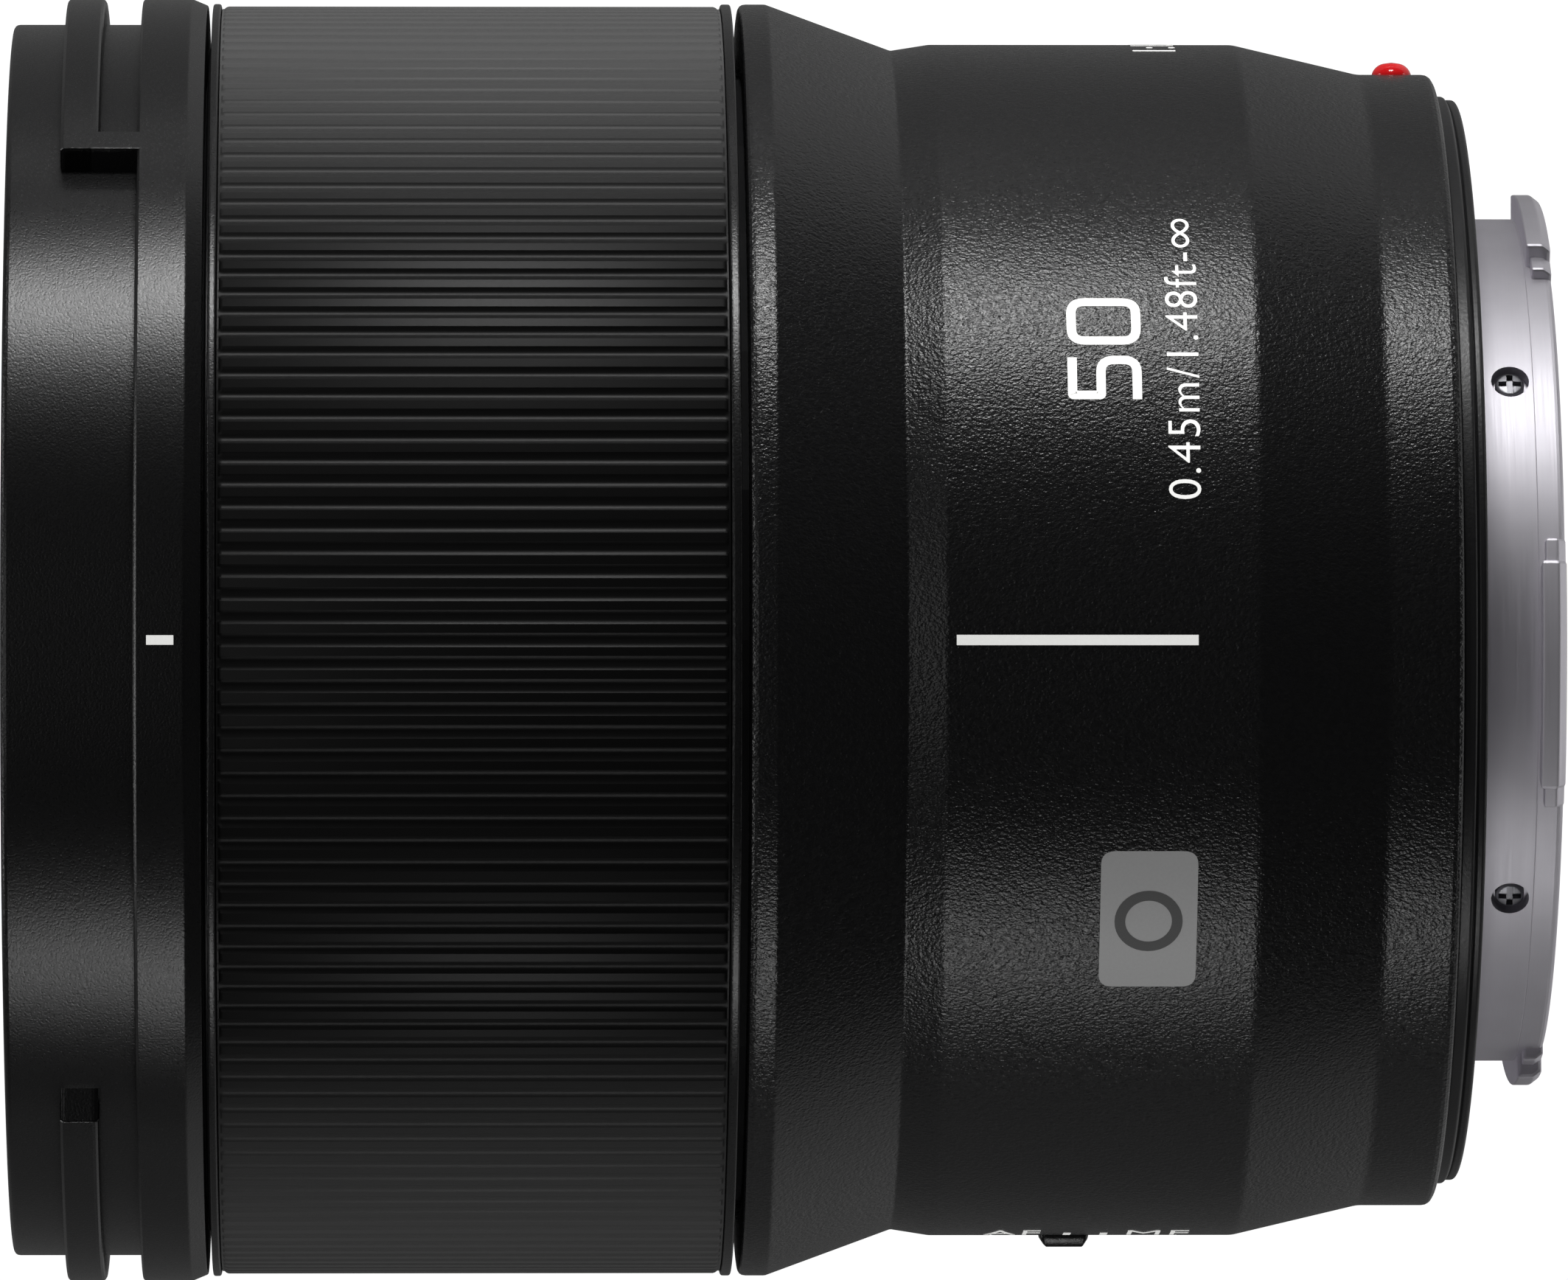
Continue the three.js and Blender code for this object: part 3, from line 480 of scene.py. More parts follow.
def paint(name, colour, roughness=0.45, glow=0.0):
    """Printed or filled marks; glow lifts a bright ink out of the dark side."""
    material, tree, shader = shader_nodes(name)
    where = lens_coordinates(tree)
    speck = noise(tree, where, 6.0, 2)
    tinted(tree, shader, colour, speck, 0.9, 1.06)
    rough = spread(tree, speck, roughness - 0.05, roughness + 0.05)
    tree.links.new(rough, shader.inputs["Roughness"])
    bump(tree, shader, [(speck, 0.004, 0.4)])
    shader.inputs["Emission Color"].default_value = (*colour, 1)
    shader.inputs["Emission Strength"].default_value = glow
    return material


COATING_GAIN = 1.3


def lens_glass(name, sheen):
    """Coated glass: clear from straight on, with a coloured reflection that grows to the edge."""
    material, tree, shader = shader_nodes(name)
    tree.nodes.remove(shader)
    where = lens_coordinates(tree)
    dust = noise(tree, where, 0.9, 4)
    clear = tree.nodes.new("ShaderNodeBsdfTransparent")
    clear.inputs["Color"].default_value = (0.93, 0.96, 0.95, 1)
    gloss = tree.nodes.new("ShaderNodeBsdfGlossy")
    gloss.inputs["Color"].default_value = (*sheen, 1)
    tree.links.new(spread(tree, dust, 0.015, 0.05), gloss.inputs["Roughness"])
    facing = add_node(tree, "ShaderNodeFresnel", IOR=1.6)
    share = maths(tree, "MULTIPLY", facing.outputs["Fac"], COATING_GAIN)
    mix = tree.nodes.new("ShaderNodeMixShader")
    tree.links.new(share, mix.inputs["Fac"])
    tree.links.new(clear.outputs["BSDF"], mix.inputs[1])
    tree.links.new(gloss.outputs["BSDF"], mix.inputs[2])
    tree.links.new(mix.outputs["Shader"], tree.nodes["Material Output"].inputs["Surface"])
    return material


RING_BLACK = plastic("ring_black", (0.003, 0.003, 0.0032), 0.29, 0.13, 0.014)
BARREL_BLACK = leather_grain("barrel_black", (0.005, 0.005, 0.0053), 0.28)
GRIP_RUBBER = ribbed_rubber("grip_rubber", 0.36)
SEAL_RUBBER = plastic("seal_rubber", (0.006, 0.006, 0.0065), 0.36, 0.2, 0.01)
INNER_BLACK = plastic("inner_black", (0.01, 0.01, 0.011), 0.7, 0.3, 0.015)
MOUNT_METAL = metal("mount_metal", (0.74, 0.72, 0.77), 0.54, 0.006)
SCREW_METAL = metal("screw_metal", (0.3, 0.3, 0.32), 0.4)
DARK_METAL = metal("dark_metal", (0.06, 0.06, 0.065), 0.42)
BRASS_METAL = metal("brass_metal", (0.66, 0.47, 0.16), 0.3)
GOLD_METAL = metal("gold_metal", (0.9, 0.66, 0.25), 0.22)
BOARD_GREEN = plastic("board_green", (0.02, 0.14, 0.05), 0.45, 0.5, 0.01)
WHITE_PAINT = paint("white_paint", (0.86, 0.86, 0.84), glow=0.38)
GREY_PAINT = paint("grey_paint", (0.22, 0.22, 0.22), 0.4, 0.3)
DARK_PAINT = paint("dark_paint", (0.05, 0.05, 0.05), 0.5, 0.2)
RED_GLOSS = paint("red_gloss", (0.5, 0.008, 0.01), 0.14)
FRONT_GLASS = lens_glass("front_glass", (0.55, 0.75, 0.62))
INNER_GLASS = lens_glass("inner_glass", (0.6, 0.5, 0.75))

SLOT_FINISH = {
    "satin_black_plastic": INNER_BLACK,
    "black_rubber": SEAL_RUBBER,
    "satin_steel": SCREW_METAL,
    "dark_steel": DARK_METAL,
    "glass": INNER_GLASS,
    "red_bead": RED_GLOSS,
    "circuit_board": BOARD_GREEN,
    "brass": BRASS_METAL,
}


def dress(obj, material, body, slot, *nodes):
    """Gives a finished piece its material and its body, and hides the CAD nodes it stands for."""
    obj.data.materials.clear()
    obj.data.materials.append(material)
    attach(obj, body)
    if nodes:
        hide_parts(*nodes)
    return obj


# ---------- front ring ----------
RIM_R, FLANGE_R = 35.3, 36.8
LUG_FRONT, LUG_BACK, FLANGE_FRONT = 3.1, 5.3, 7.4
LUG_START, LUG_END, STOP_END = 48.3, 133.0, 50.7
LUG_ROOT, LUG_FOOT, LUG_SOFTEN = 34.6, RIM_R - 0.12, 0.08
LUG_CHAMFER, FLANGE_CHAMFER = 0.16, 0.13
THREAD_PITCH, THREAD_TURNS = 0.75, 6


def filter_thread():
    """The filter thread's crests and roots, as seen on its section from back to front."""
    corners = []
    for i in reversed(range(THREAD_TURNS)):
        station = 0.55 + i * THREAD_PITCH
        corners.append((33.45, station + THREAD_PITCH / 2, 0.05))
        corners.append((33.1, station, 0.05))
    return corners


def lug_section(back, corner):
    return [
        (LUG_ROOT, LUG_FRONT, 0),
        (FLANGE_R - LUG_CHAMFER, LUG_FRONT, 0.03),
        (FLANGE_R, LUG_FRONT + LUG_CHAMFER, 0.03),
        (FLANGE_R, back, corner),
        (LUG_ROOT, back, 0),
    ]


def build_front_ring():
    body = turned(
        "front_ring_turned",
        [
            (33.5, 0.0, 0.1),
            (RIM_R, 0.0, 0.35),
            (RIM_R, FLANGE_FRONT, 0.08),
            (FLANGE_R - FLANGE_CHAMFER, FLANGE_FRONT, 0.02),
            (FLANGE_R, FLANGE_FRONT + FLANGE_CHAMFER, 0.02),
            (FLANGE_R, 10.15, 0.1),
            (36.4, 11.1, 0.08),
            (33.9, 11.1, 0),
            (33.9, 9.0, 0),
            (33.2, 6.6, 0),
            (33.2, 5.2, 0.1),
            *filter_thread(),
        ],
    )
    section = lug_section(LUG_BACK, 0.4)
    stop = lug_section(FLANGE_FRONT + 0.6, 0)
    lugs = []
    for turn in (0, 180):
        start, lug_end, stop_end = LUG_START + turn, LUG_END + turn, STOP_END + turn
        lug_slope, stop_slope = (0.5, 2.0, LUG_FOOT), (0.5, 0.1, LUG_FOOT)
        lugs.append(swept("lug", section, start, lug_end, LUG_SOFTEN, slope=lug_slope))
        lugs.append(swept("stop", stop, start, stop_end, LUG_SOFTEN, 0.6, stop_slope))
    ring = shade_round(joined("front_ring_shell", body, *lugs))
    dress(ring, RING_BLACK, "barrel", "satin_black_plastic", "front_ring")


def build_name_ring():
    """The dished ring behind the filter thread, with fine steps against stray light."""
    corners = [(32.9, 6.6, 0), (32.9, 5.4, 0.1), (32.2, 5.4, 0.1)]
    steps = 14
    for i in range(steps):
        radius = 31.8 - 10.6 * i / steps
        station = 5.75 + 4.2 * i / steps
        corners += [(radius, station, 0), (radius - 0.1, station + 0.3, 0)]
    corners += [(20.9, 10.1, 0.1), (20.8, 11.5, 0), (22.0, 11.5, 0), (22.0, 10.8, 0)]
    corners += [(32.4, 6.75, 0)]
    ring = shade_round(turned("name_ring_stepped", corners))
    dress(ring, RING_BLACK, "barrel", "satin_black_plastic", "name_ring")


def build_focus_seal():
    """The soft ring in the gap between the front ring and the focus ring."""
    corners = [(32.6, 11.2, 0.1), (34.0, 11.2, 0.15), (34.0, 12.3, 0.1), (32.6, 12.3, 0.1)]
    seal = shade_round(turned("focus_seal_ring", corners))
    dress(seal, SEAL_RUBBER, "barrel", "black_rubber", "focus_seal")


# ---------- focus ring ----------
def build_focus_ring():
    sleeve = turned(
        "focus_sleeve_shell",
        [
            (34.35, 11.4, 0),
            (36.5, 11.4, 0.14),
            (36.5, 11.85, 0.14),
            (35.3, 11.95, 0),
            (35.3, 40.35, 0),
            (36.5, 40.45, 0.14),
            (36.5, 41.0, 0.14),
            (32.7, 41.0, 0),
            (32.7, 12.6, 0),
            (34.35, 12.6, 0),
        ],
    )
    dress(shade_round(sleeve), RING_BLACK, "focus_ring", "satin_black_plastic", "focus_sleeve")
    dress(rubber_grip(), GRIP_RUBBER, "focus_ring", "black_rubber", "rubber_grip")


RIBS = 180
RIB_TIP, RIB_ROOT, GRIP_BORE = 36.36, 36.22, 35.32
GRIP_FRONT, GRIP_BACK = 11.93, 40.37
LAND_SHARE = 0.39
SCALLOP_STEPS = 8


def rib_section():
    """One rib's (share of the pitch, radius) points: a scalloped groove, then a flat land."""
    half_groove = (1 - LAND_SHARE) / 2
    points = []
    for i in range(-SCALLOP_STEPS, SCALLOP_STEPS + 1):
        across = i / SCALLOP_STEPS
        points.append((half_groove * across, RIB_ROOT + (RIB_TIP - RIB_ROOT) * across**2))
    return points + [(0.5, RIB_TIP)]


def rubber_grip():
    """The ribbed sleeve: each row is a (station, share by which the ribs have run out)."""
    section = rib_section()
    pitch = 360 / RIBS
    outline = [((i + share) * pitch, radius) for i in range(RIBS) for share, radius in section]
    low, high = GRIP_FRONT, GRIP_BACK
    rows = [(low, 1.0), (low + 0.1, 1.0), (low + 0.2, 0.35), (low + 0.34, 0.0)]
    rows += [(high - 0.34, 0.0), (high - 0.2, 0.35), (high - 0.1, 1.0), (high, 1.0)]
    count = len(outline)
    verts, faces = [], []
    for station, sunk in rows:
        for phi, radius in outline:
            verts.append(place(radius + (RIB_ROOT - radius) * sunk, phi, station))
    for station in (high, low):
        verts += [place(GRIP_BORE, phi, station) for phi, _ in outline]
    total = len(rows) + 2
    for i in range(total):
        faces += band(i * count, (i + 1) % total * count, count)
    return shade_smooth(tidy_mesh(new_object("rubber_grip_ribbed", verts, faces)), 20)


# ---------- outer barrel ----------
BARREL_R = 34.2
BEAD_PHI, BEAD_STATION, BEAD_R = 90, 79.1, 1.15
PLATE_FRONT, PLATE_BACK, PLATE_TOP = 55.9, 66.7, 34.12
SWITCH_PHI, KNOB_STATION = -90, 60.2


def build_barrel():
    shell = turned(
        "main_barrel_shell",
        [
            (33.6, 41.44, 0),
            (36.5, 41.44, 0.45),
            (36.5, 43.0, 0.12),
            (33.85, 50.2, 0.12),
            (BARREL_R, 52.4, 0.12),
            (BARREL_R, 69.8, 0.25),
            (32.5, 77.0, 0.25),
            (32.5, 81.2, 0.5),
            (30.7, 81.2, 0),
            (30.7, 80.0, 0),
            (26.0, 80.0, 0),
            (26.0, 77.0, 0),
            (30.6, 77.0, 0),
            (31.9, 72.0, 0),
            (31.9, 45.0, 0),
            (33.6, 45.0, 0),
        ],
    )
    recess = block("recess", 33.3, 37, 2.7, SWITCH_PHI, PLATE_FRONT, PLATE_BACK)
    window = block("window", 30, 37, 1.9, SWITCH_PHI, 58.5, 63.9)
    well = rod(BEAD_R + 0.08, 4, place(31.6, BEAD_PHI, BEAD_STATION), outward_at(BEAD_PHI))
    shade_round(cut(shell, recess, window, well))
    dress(shell, BARREL_BLACK, "barrel", "satin_black_plastic", "main_barrel")


def build_bead():
    bead = standing(
        "index_bead_dome",
        [
            (0, 0, 0),
            (BEAD_R, 0, 0),
            (BEAD_R, 0.85, 0.5),
            (0.72, 1.32, 0.4),
            (0, 1.42, 0),
        ],
        place(31.8, BEAD_PHI, BEAD_STATION),
        outward_at(BEAD_PHI),
        steps=6,
    )
    dress(shade_smooth(bead, 60), RED_GLOSS, "barrel", "red_bead", "index_bead")


def rounded_outline(width, height, radius, steps=6):
    corners = [(-width, -height), (width, -height), (width, height), (-width, height)]
    return fillet([(x / 2, y / 2, radius) for x, y in corners], steps=steps)


def plinth(name, width, length, radius, layers, middle):
    """A rounded block on the switch side, through (height above the axis, inset) layers."""
    outward, across = side_directions(SWITCH_PHI)
    rows = []
    for height, inset in layers:
        ring = rounded_outline(width - 2 * inset, length - 2 * inset, max(radius - inset, 0.02))
        row = []
        for x, y in ring:
            point = outward * height * MM + across * x * MM
            row.append(point + Vector((0, FRONT_Y + (middle + y) * MM, 0)))
        rows.append(row)
    return lofted(name, rows)


def build_switch():
    middle = (PLATE_FRONT + PLATE_BACK) / 2
    plate = plinth(
        "switch_plate_flat",
        5.3,
        PLATE_BACK - PLATE_FRONT - 0.1,
        0.4,
        [(33.3, 0), (PLATE_TOP - 0.05, 0), (PLATE_TOP, 0.05)],
        middle,
    )
    cut(plate, block("slot", 32, 36, 1.85, SWITCH_PHI, 58.55, 63.85))
    dress(shade_smooth(plate), BARREL_BLACK, "barrel", "satin_black_plastic", "switch_plate")
    knob = plinth(
        "switch_knob_cap",
        3.2,
        2.8,
        0.35,
        [(31.2, 0), (34.2, 0), (34.4, 0.05), (34.78, 0.3), (34.85, 0.38)],
        KNOB_STATION,
    )
    foot = plinth("knob_foot", 5.2, 6.0, 0.3, [(30.7, 0), (31.3, 0)], KNOB_STATION)
    knob = joined("switch_knob_cap", knob, foot)
    dress(shade_smooth(knob, 30), RING_BLACK, "switch", "satin_black_plastic", "switch_knob")


# ---------- printed marks ----------
INK, INK_SUNK = 0.02, 0.1
BEND_PITCH = 0.5


def wrapped(name, flat, radius, phi, station, reads, material):
    """Bends a flat outline mesh, in millimetres, onto the barrel as a thin closed skin.

    reads is "round" when the text runs towards higher phi with its tops to the front, and "back"
    when it runs towards the mount with its tops to higher phi.
    """
    bm = bmesh.new()
    bm.from_mesh(flat.data)
    bpy.data.objects.remove(flat)
    bmesh.ops.remove_doubles(bm, verts=bm.verts, dist=1e-4)
    xs = [v.co.x for v in bm.verts]
    ys = [v.co.y for v in bm.verts]
    bent = ys if reads == "back" else xs
    normal = (0, 1, 0) if reads == "back" else (1, 0, 0)
    for i in range(math.floor(min(bent) / BEND_PITCH) + 1, math.ceil(max(bent) / BEND_PITCH)):
        everything = bm.verts[:] + bm.edges[:] + bm.faces[:]
        point = Vector(normal) * i * BEND_PITCH
        bmesh.ops.bisect_plane(bm, geom=everything, plane_co=point, plane_no=normal, dist=1e-5)
    top = bmesh.ops.extrude_face_region(bm, geom=bm.faces[:])
    raised = {v for v in top["geom"] if isinstance(v, bmesh.types.BMVert)}
    for v in bm.verts:
        x, y = v.co.x, v.co.y
        level = radius + (INK if v in raised else -INK_SUNK)
        if reads == "round":
            v.co = place(level, phi + degrees_along(x, radius), station - y)
        else:
            v.co = place(level, phi + degrees_along(y, radius), station + x)
    bmesh.ops.recalc_face_normals(bm, faces=bm.faces)
    mesh = bpy.data.meshes.new(name)
    bm.to_mesh(mesh)
    bm.free()
    dress(shade_round(linked(name, mesh)), material, "barrel", "satin_black_plastic")


def flat_text(body, height, length):
    """Text as a flat mesh, from its lower left corner, fitted to height and length."""
    curve = bpy.data.curves.new("text", "FONT")
    curve.body = body
    curve.resolution_u = 5
    curve.space_character = 1.08
    curve.offset = -0.008
    obj = linked("text", curve)
    graph = bpy.context.evaluated_depsgraph_get()
    mesh = bpy.data.meshes.new_from_object(obj.evaluated_get(graph))
    bpy.data.objects.remove(obj)
    flat = linked("flat_text", mesh)
    xs = [v.co.x for v in mesh.vertices]
    across = length / (max(xs) - min(xs))
    up = height / max(v.co.y for v in mesh.vertices)
    for v in mesh.vertices:
        v.co = Vector(((v.co.x - min(xs)) * across, v.co.y * up, 0))
    return flat


def ribbon(path, width, closed=False):
    """A stroke of even width along a flat path, as vertices and faces."""
    points = [np.array(p, float) for p in path]
    count = len(points)
    verts, faces = [], []
    for i, point in enumerate(points):
        before = points[i - 1] if closed or i else None
        after = points[(i + 1) % count] if closed or i < count - 1 else None
        legs = []
        if before is not None:
            legs.append((point - before) / np.linalg.norm(point - before))
        if after is not None:
            legs.append((after - point) / np.linalg.norm(after - point))
        along = sum(legs) / np.linalg.norm(sum(legs))
        side = np.array((-along[1], along[0]))
        stretch = 1 / max(0.35, abs(float(np.dot(along, legs[0]))))
        for sign in (1, -1):
            p = point + side * sign * width / 2 * stretch
            verts.append((p[0], p[1], 0))
    for i in range(count if closed else count - 1):
        a, b = 2 * i, 2 * ((i + 1) % count)
        faces.append((a, a + 1, b + 1, b))
    return verts, faces


def merged_ribbons(name, ribbons):
    verts, faces = [], []
    for points, quads in ribbons:
        base = len(verts)
        verts += points
        faces += [tuple(base + k for k in quad) for quad in quads]
    return new_object(name, verts, faces)


def build_focal_numerals():
    """The large squared 50."""
    width, tall, stroke = 2.69, 4.12, 0.52
    low, high, mid = stroke / 2, tall - stroke / 2, 0.55 * tall
    bend = 0.75
    five = [
        (width - 0.1, high, 0),
        (low, high, 0.08),
        (low, mid, 0.08),
        (width - low, mid, bend),
        (width - low, low, bend),
        (0.0, low, 0),
    ]
    start, end = 3.4 + low, 6.45 - low
    zero = [(start, low, bend), (end, low, bend), (end, high, bend), (start, high, bend)]
    strokes = [
        ribbon(fillet(five, closed=False, steps=6), stroke),
        ribbon(fillet(zero, steps=6), stroke, closed=True),
    ]
    flat = merged_ribbons("numerals", strokes)
    wrapped("focal_numerals", flat, BARREL_R, 23.0, 63.3, "round", WHITE_PAINT)


def bar_mark(name, length, width, radius, phi, front):
    """A straight painted bar along the lens."""
    half = width / 2
    verts = [(-half, 0, 0), (half, 0, 0), (half, length, 0), (-half, length, 0)]
    flat = new_object("bar", verts, [(0, 1, 2, 3)])
    wrapped(name, flat, radius, phi, front + length, "round", WHITE_PAINT)


def build_badge():
    """A plain grey badge with rounded corners and a ring on it."""
    width, tall = 8.55, 5.4
    outline = rounded_outline(width, tall, 0.8)
    flat = new_object("badge", [(x, y, 0) for x, y in outline], [tuple(range(len(outline)))])
    middle_phi, middle = -27.2, 63.7
    wrapped("badge_plate", flat, BARREL_R, middle_phi, middle, "round", GREY_PAINT)
    circle = [
        (1.6 * math.cos(math.radians(a)), 1.6 * math.sin(math.radians(a)))
        for a in range(0, 360, 10)
    ]
    ring = merged_ribbons("ring", [ribbon(circle, 0.6, closed=True)])
    wrapped("badge_ring", ring, BARREL_R + INK, middle_phi, middle, "round", DARK_PAINT)


def build_marks():
    build_focal_numerals()
    bar_mark("barrel_index_line", 13.4, 0.57, BARREL_R, 0, 52.9)
    bar_mark("front_index_mark", 1.5, 0.53, FLANGE_R, 0, 8.1)
    distance = flat_text("0.45m/1.48ft-∞", 1.8, 18.1)
    wrapped("distance_text", distance, BARREL_R, 13.2, 66.5, "round", WHITE_PAINT)
    aperture = flat_text("1:1.8", 2.5, 6.6)
    wrapped("aperture_text", aperture, BARREL_R, 79.5, 66.4, "round", WHITE_PAINT)
    wrapped("auto_text", flat_text("AF", 2.6, 3.2), BARREL_R, -85.0, 55.5, "back", WHITE_PAINT)
    wrapped("manual_text", flat_text("MF", 2.6, 3.5), BARREL_R, -85.0, 63.7, "back", WHITE_PAINT)
    for name, station in (("auto_mark", 60.05), ("manual_mark", 62.15)):
        bar_mark(name, 0.42, 1.5, BARREL_R, -84.0, station)
    build_badge()


# ---------- rear mount ----------
SLEEVE_R, CLAW_R, SHELF_R = 24.2, 25.6, 24.85
FLANGE_STATION, REAR = 82.0, 87.4
CLAWS = ((-4.5, 29.3), (76.0, 30.0), (-93.0, 30.0), (178.0, 29.0))
SIDE_SCREW_PHI = (37, -37, 143, -143)
SIDE_SCREW_STATION, SIDE_SCREW_SEAT = 84.6, 23.45
MOUNT_SCREW_PHI = (45, 135, 225, 315)
MOUNT_SCREW_R, MOUNT_SCREW_SEAT = 28.2, 81.0
LOCK_HOLE_PHI = -75
SHELF_EXTRA = 3.2
BACKWARDS = (0, 1, 0)


def claw_section(radius, front):
    return [
        (SLEEVE_R - 1.2, front, 0),
        (radius, front, 0.12),
        (radius, 86.95, 0.1),
        (radius - 0.35, REAR, 0.08),
        (SLEEVE_R - 1.2, REAR, 0),
    ]


def build_mount():
    body = turned(
        "mount_turned",
        [
            (20.5, 80.0, 0),
            (30.2, 80.0, 0),
            (30.2, FLANGE_STATION, 0.15),
            (26.0, FLANGE_STATION, 0.08),
            (26.0, 81.7, 0.05),
            (SLEEVE_R, 81.7, 0.05),
            (SLEEVE_R, 85.88, 0.01),
            (SLEEVE_R - 0.02, 85.9, 0.01),
            (SLEEVE_R, 85.92, 0.01),
            (SLEEVE_R, REAR, 0.35),
            (21.6, REAR, 0.2),
            (21.6, 81.4, 0),
            (20.5, 81.4, 0.1),
        ],
    )
    claws = []
    for centre, span in CLAWS:
        half = span / 2
        claws.append(
            swept("claw", claw_section(CLAW_R, 86.0), centre - half, centre + half, 0.2)
        )
        wide = half + SHELF_EXTRA
        claws.append(
            swept("shelf", claw_section(SHELF_R, 86.25), centre - wide, centre + wide, 0.15)
        )
    tools = []
    for phi in SIDE_SCREW_PHI:
        for radius, low, high in ((0.75, 19.5, 24), (1.07, SIDE_SCREW_SEAT, 26)):
            base = place(low, phi, SIDE_SCREW_STATION)
            tools.append(rod(radius, high - low, base, outward_at(phi)))
    for phi in MOUNT_SCREW_PHI:
        for radius, low, high in ((1.05, 79, 81.5), (1.9, MOUNT_SCREW_SEAT, 83)):
            tools.append(rod(radius, high - low, place(MOUNT_SCREW_R, phi, low), BACKWARDS))
    tools.append(rod(1.5, 3, place(28.0, LOCK_HOLE_PHI, FLANGE_STATION - 1.2), BACKWARDS))
    cut(body, *tools)
    ring = shade_round(joined("mount_ring_fine", body, *claws))
    dress(ring, MOUNT_METAL, "barrel", "satin_steel", "mount_ring")


def cross_screw(name, head, height, shank, length, base, axis):
    """A pan-head screw with a cross recess, standing on base along axis."""
    screw = standing(
        name,
        [
            (0, -length, 0),
            (shank, -length, 0.1),
            (shank, 0, 0),
            (head, 0, 0),
            (head, height, 0.25 * head),
            (0, height + 0.05, 0),
        ],
        base,
        axis,
    )
    turn = turn_to(axis)
    tools = []
    for swap in (False, True):
        reach, narrow = 0.78 * head, 0.22 * head
        if swap:
            reach, narrow = narrow, reach
        verts = [
            Vector(base) + turn @ Vector((x, y, z)) * MM
            for z in (height - 0.4 * head, height + 1)
            for x, y in ((-reach, -narrow), (reach, -narrow), (reach, narrow), (-reach, narrow))
        ]
        faces = [(0, 3, 2, 1), (4, 5, 6, 7), (0, 1, 5, 4), (1, 2, 6, 5), (2, 3, 7, 6), (3, 0, 4, 7)]
        tools.append(tidy_mesh(new_object("slot", verts, faces)))
    return shade_smooth(cut(screw, *tools), 35)


def build_screws():
    for i, phi in enumerate(SIDE_SCREW_PHI, 1):
        base = place(SIDE_SCREW_SEAT, phi, SIDE_SCREW_STATION)
        screw = cross_screw(f"side_screw_fine_{i}", 0.82, 0.5, 0.5, 2.6, base, outward_at(phi))
        dress(screw, SCREW_METAL, "barrel", "satin_steel", f"side_screw_{i}")
    for i, phi in enumerate(MOUNT_SCREW_PHI, 1):
        base = place(MOUNT_SCREW_R, phi, MOUNT_SCREW_SEAT)
        screw = cross_screw(f"mount_screw_fine_{i}", 1.6, 0.6, 0.75, 3.6, base, BACKWARDS)
        dress(screw, SCREW_METAL, "barrel", "satin_steel", f"mount_screw_{i}")


CONTACTS, CONTACT_SPACING = 10, 6.6


def build_rear():
    gasket = turned(
        "mount_gasket_fine",
        [
            (30.5, 81.2, 0),
            (31.25, 81.25, 0.1),
            (31.25, 81.95, 0.15),
            (30.95, 82.05, 0.02),
            (31.05, 82.15, 0.1),
            (31.05, 82.6, 0.25),
            (30.5, 82.6, 0.1),
        ],
    )
    dress(shade_round(gasket), SEAL_RUBBER, "barrel", "black_rubber", "mount_gasket")
    baffle = turned(
        "rear_baffle_fine",
        [
            (16.5, 81.4, 0.1),
            (21.3, 81.4, 0),
            (21.3, 85.2, 0.1),
            (19.3, 85.2, 0.2),
            (19.3, 84.4, 0.05),
            (19.1, 84.2, 0.05),
            (19.3, 84.0, 0.05),
            (19.3, 82.4, 0.2),
            (16.5, 82.4, 0.2),
        ],
    )
    dress(shade_round(baffle), INNER_BLACK, "barrel", "satin_black_plastic", "rear_baffle")
    cell = turned(
        "rear_cell_fine",
        [
            (16.4, 72.0, 0),
            (23.0, 72.0, 0),
            (23.0, 73.2, 0.1),
            (19.8, 73.2, 0),
            (19.8, 80.6, 0.2),
            (17.3, 80.6, 0.2),
            (17.3, 79.6, 0.05),
            (17.45, 79.4, 0.05),
            (17.3, 79.2, 0.05),
            (17.3, 75.2, 0),
            (16.4, 75.2, 0),
        ],
        segments=MIDDLE_ROUND,
    )
    dress(shade_round(cell), INNER_BLACK, "barrel", "satin_black_plastic", "rear_cell")
    block_section = [(19.0, 85.2, 0), (19.0, 86.4, 0.3), (21.2, 86.4, 0.2), (21.2, 85.2, 0)]
    contacts = swept("contact_block_fine", block_section, 142, 218, 0.2)
    dress(shade_round(contacts), INNER_BLACK, "barrel", "satin_black_plastic", "contact_block")
    pad = [(19.6, 86.35, 0), (19.6, 86.95, 0.2), (20.6, 86.95, 0.2), (20.6, 86.35, 0)]
    half = degrees_along(0.5, 20.1)
    pads = []
    for i in range(CONTACTS):
        phi = 180 + (i - (CONTACTS - 1) / 2) * CONTACT_SPACING
        pads.append(swept("pad", pad, phi - half, phi + half, 0.15, 1.0))
    strip = shade_round(joined("contact_pads", *pads))
    dress(strip, GOLD_METAL, "barrel", "brass", "contact_strip")


# ---------- glass ----------
FOCUSING = ("element_5", "element_6", "element_7", "element_8")
# name, edge radius, edge front and back stations, rise of each face on the axis towards the back
GLASS = (
    ("element_1", 20.0, 14.2, 17.2, -1.8, -1.4),
    ("element_2", 17.0, 19.0, 23.6, 1.5, -1.6),
    ("element_3", 17.0, 23.7, 26.4, -1.6, 1.4),
    ("element_4", 18.0, 30.0, 32.8, -1.6, -0.6),
    ("element_5", 14.5, 51.0, 53.4, 1.2, 1.0),
    ("element_6", 15.3, 56.0, 58.2, -0.8, 1.2),
    ("element_7", 16.1, 60.6, 62.4, -1.0, 0.4),
    ("element_8", 16.9, 64.4, 66.6, 1.0, 1.6),
    ("element_9", 17.0, 75.2, 78.2, -1.4, -0.6),
)


def face_curve(radius, station, rise, steps=16):
    clear = radius - 0.8
    shares = [i / steps for i in range(steps + 1)]
    return [(clear * share, station + rise * (1 - share * share), 0) for share in shares]


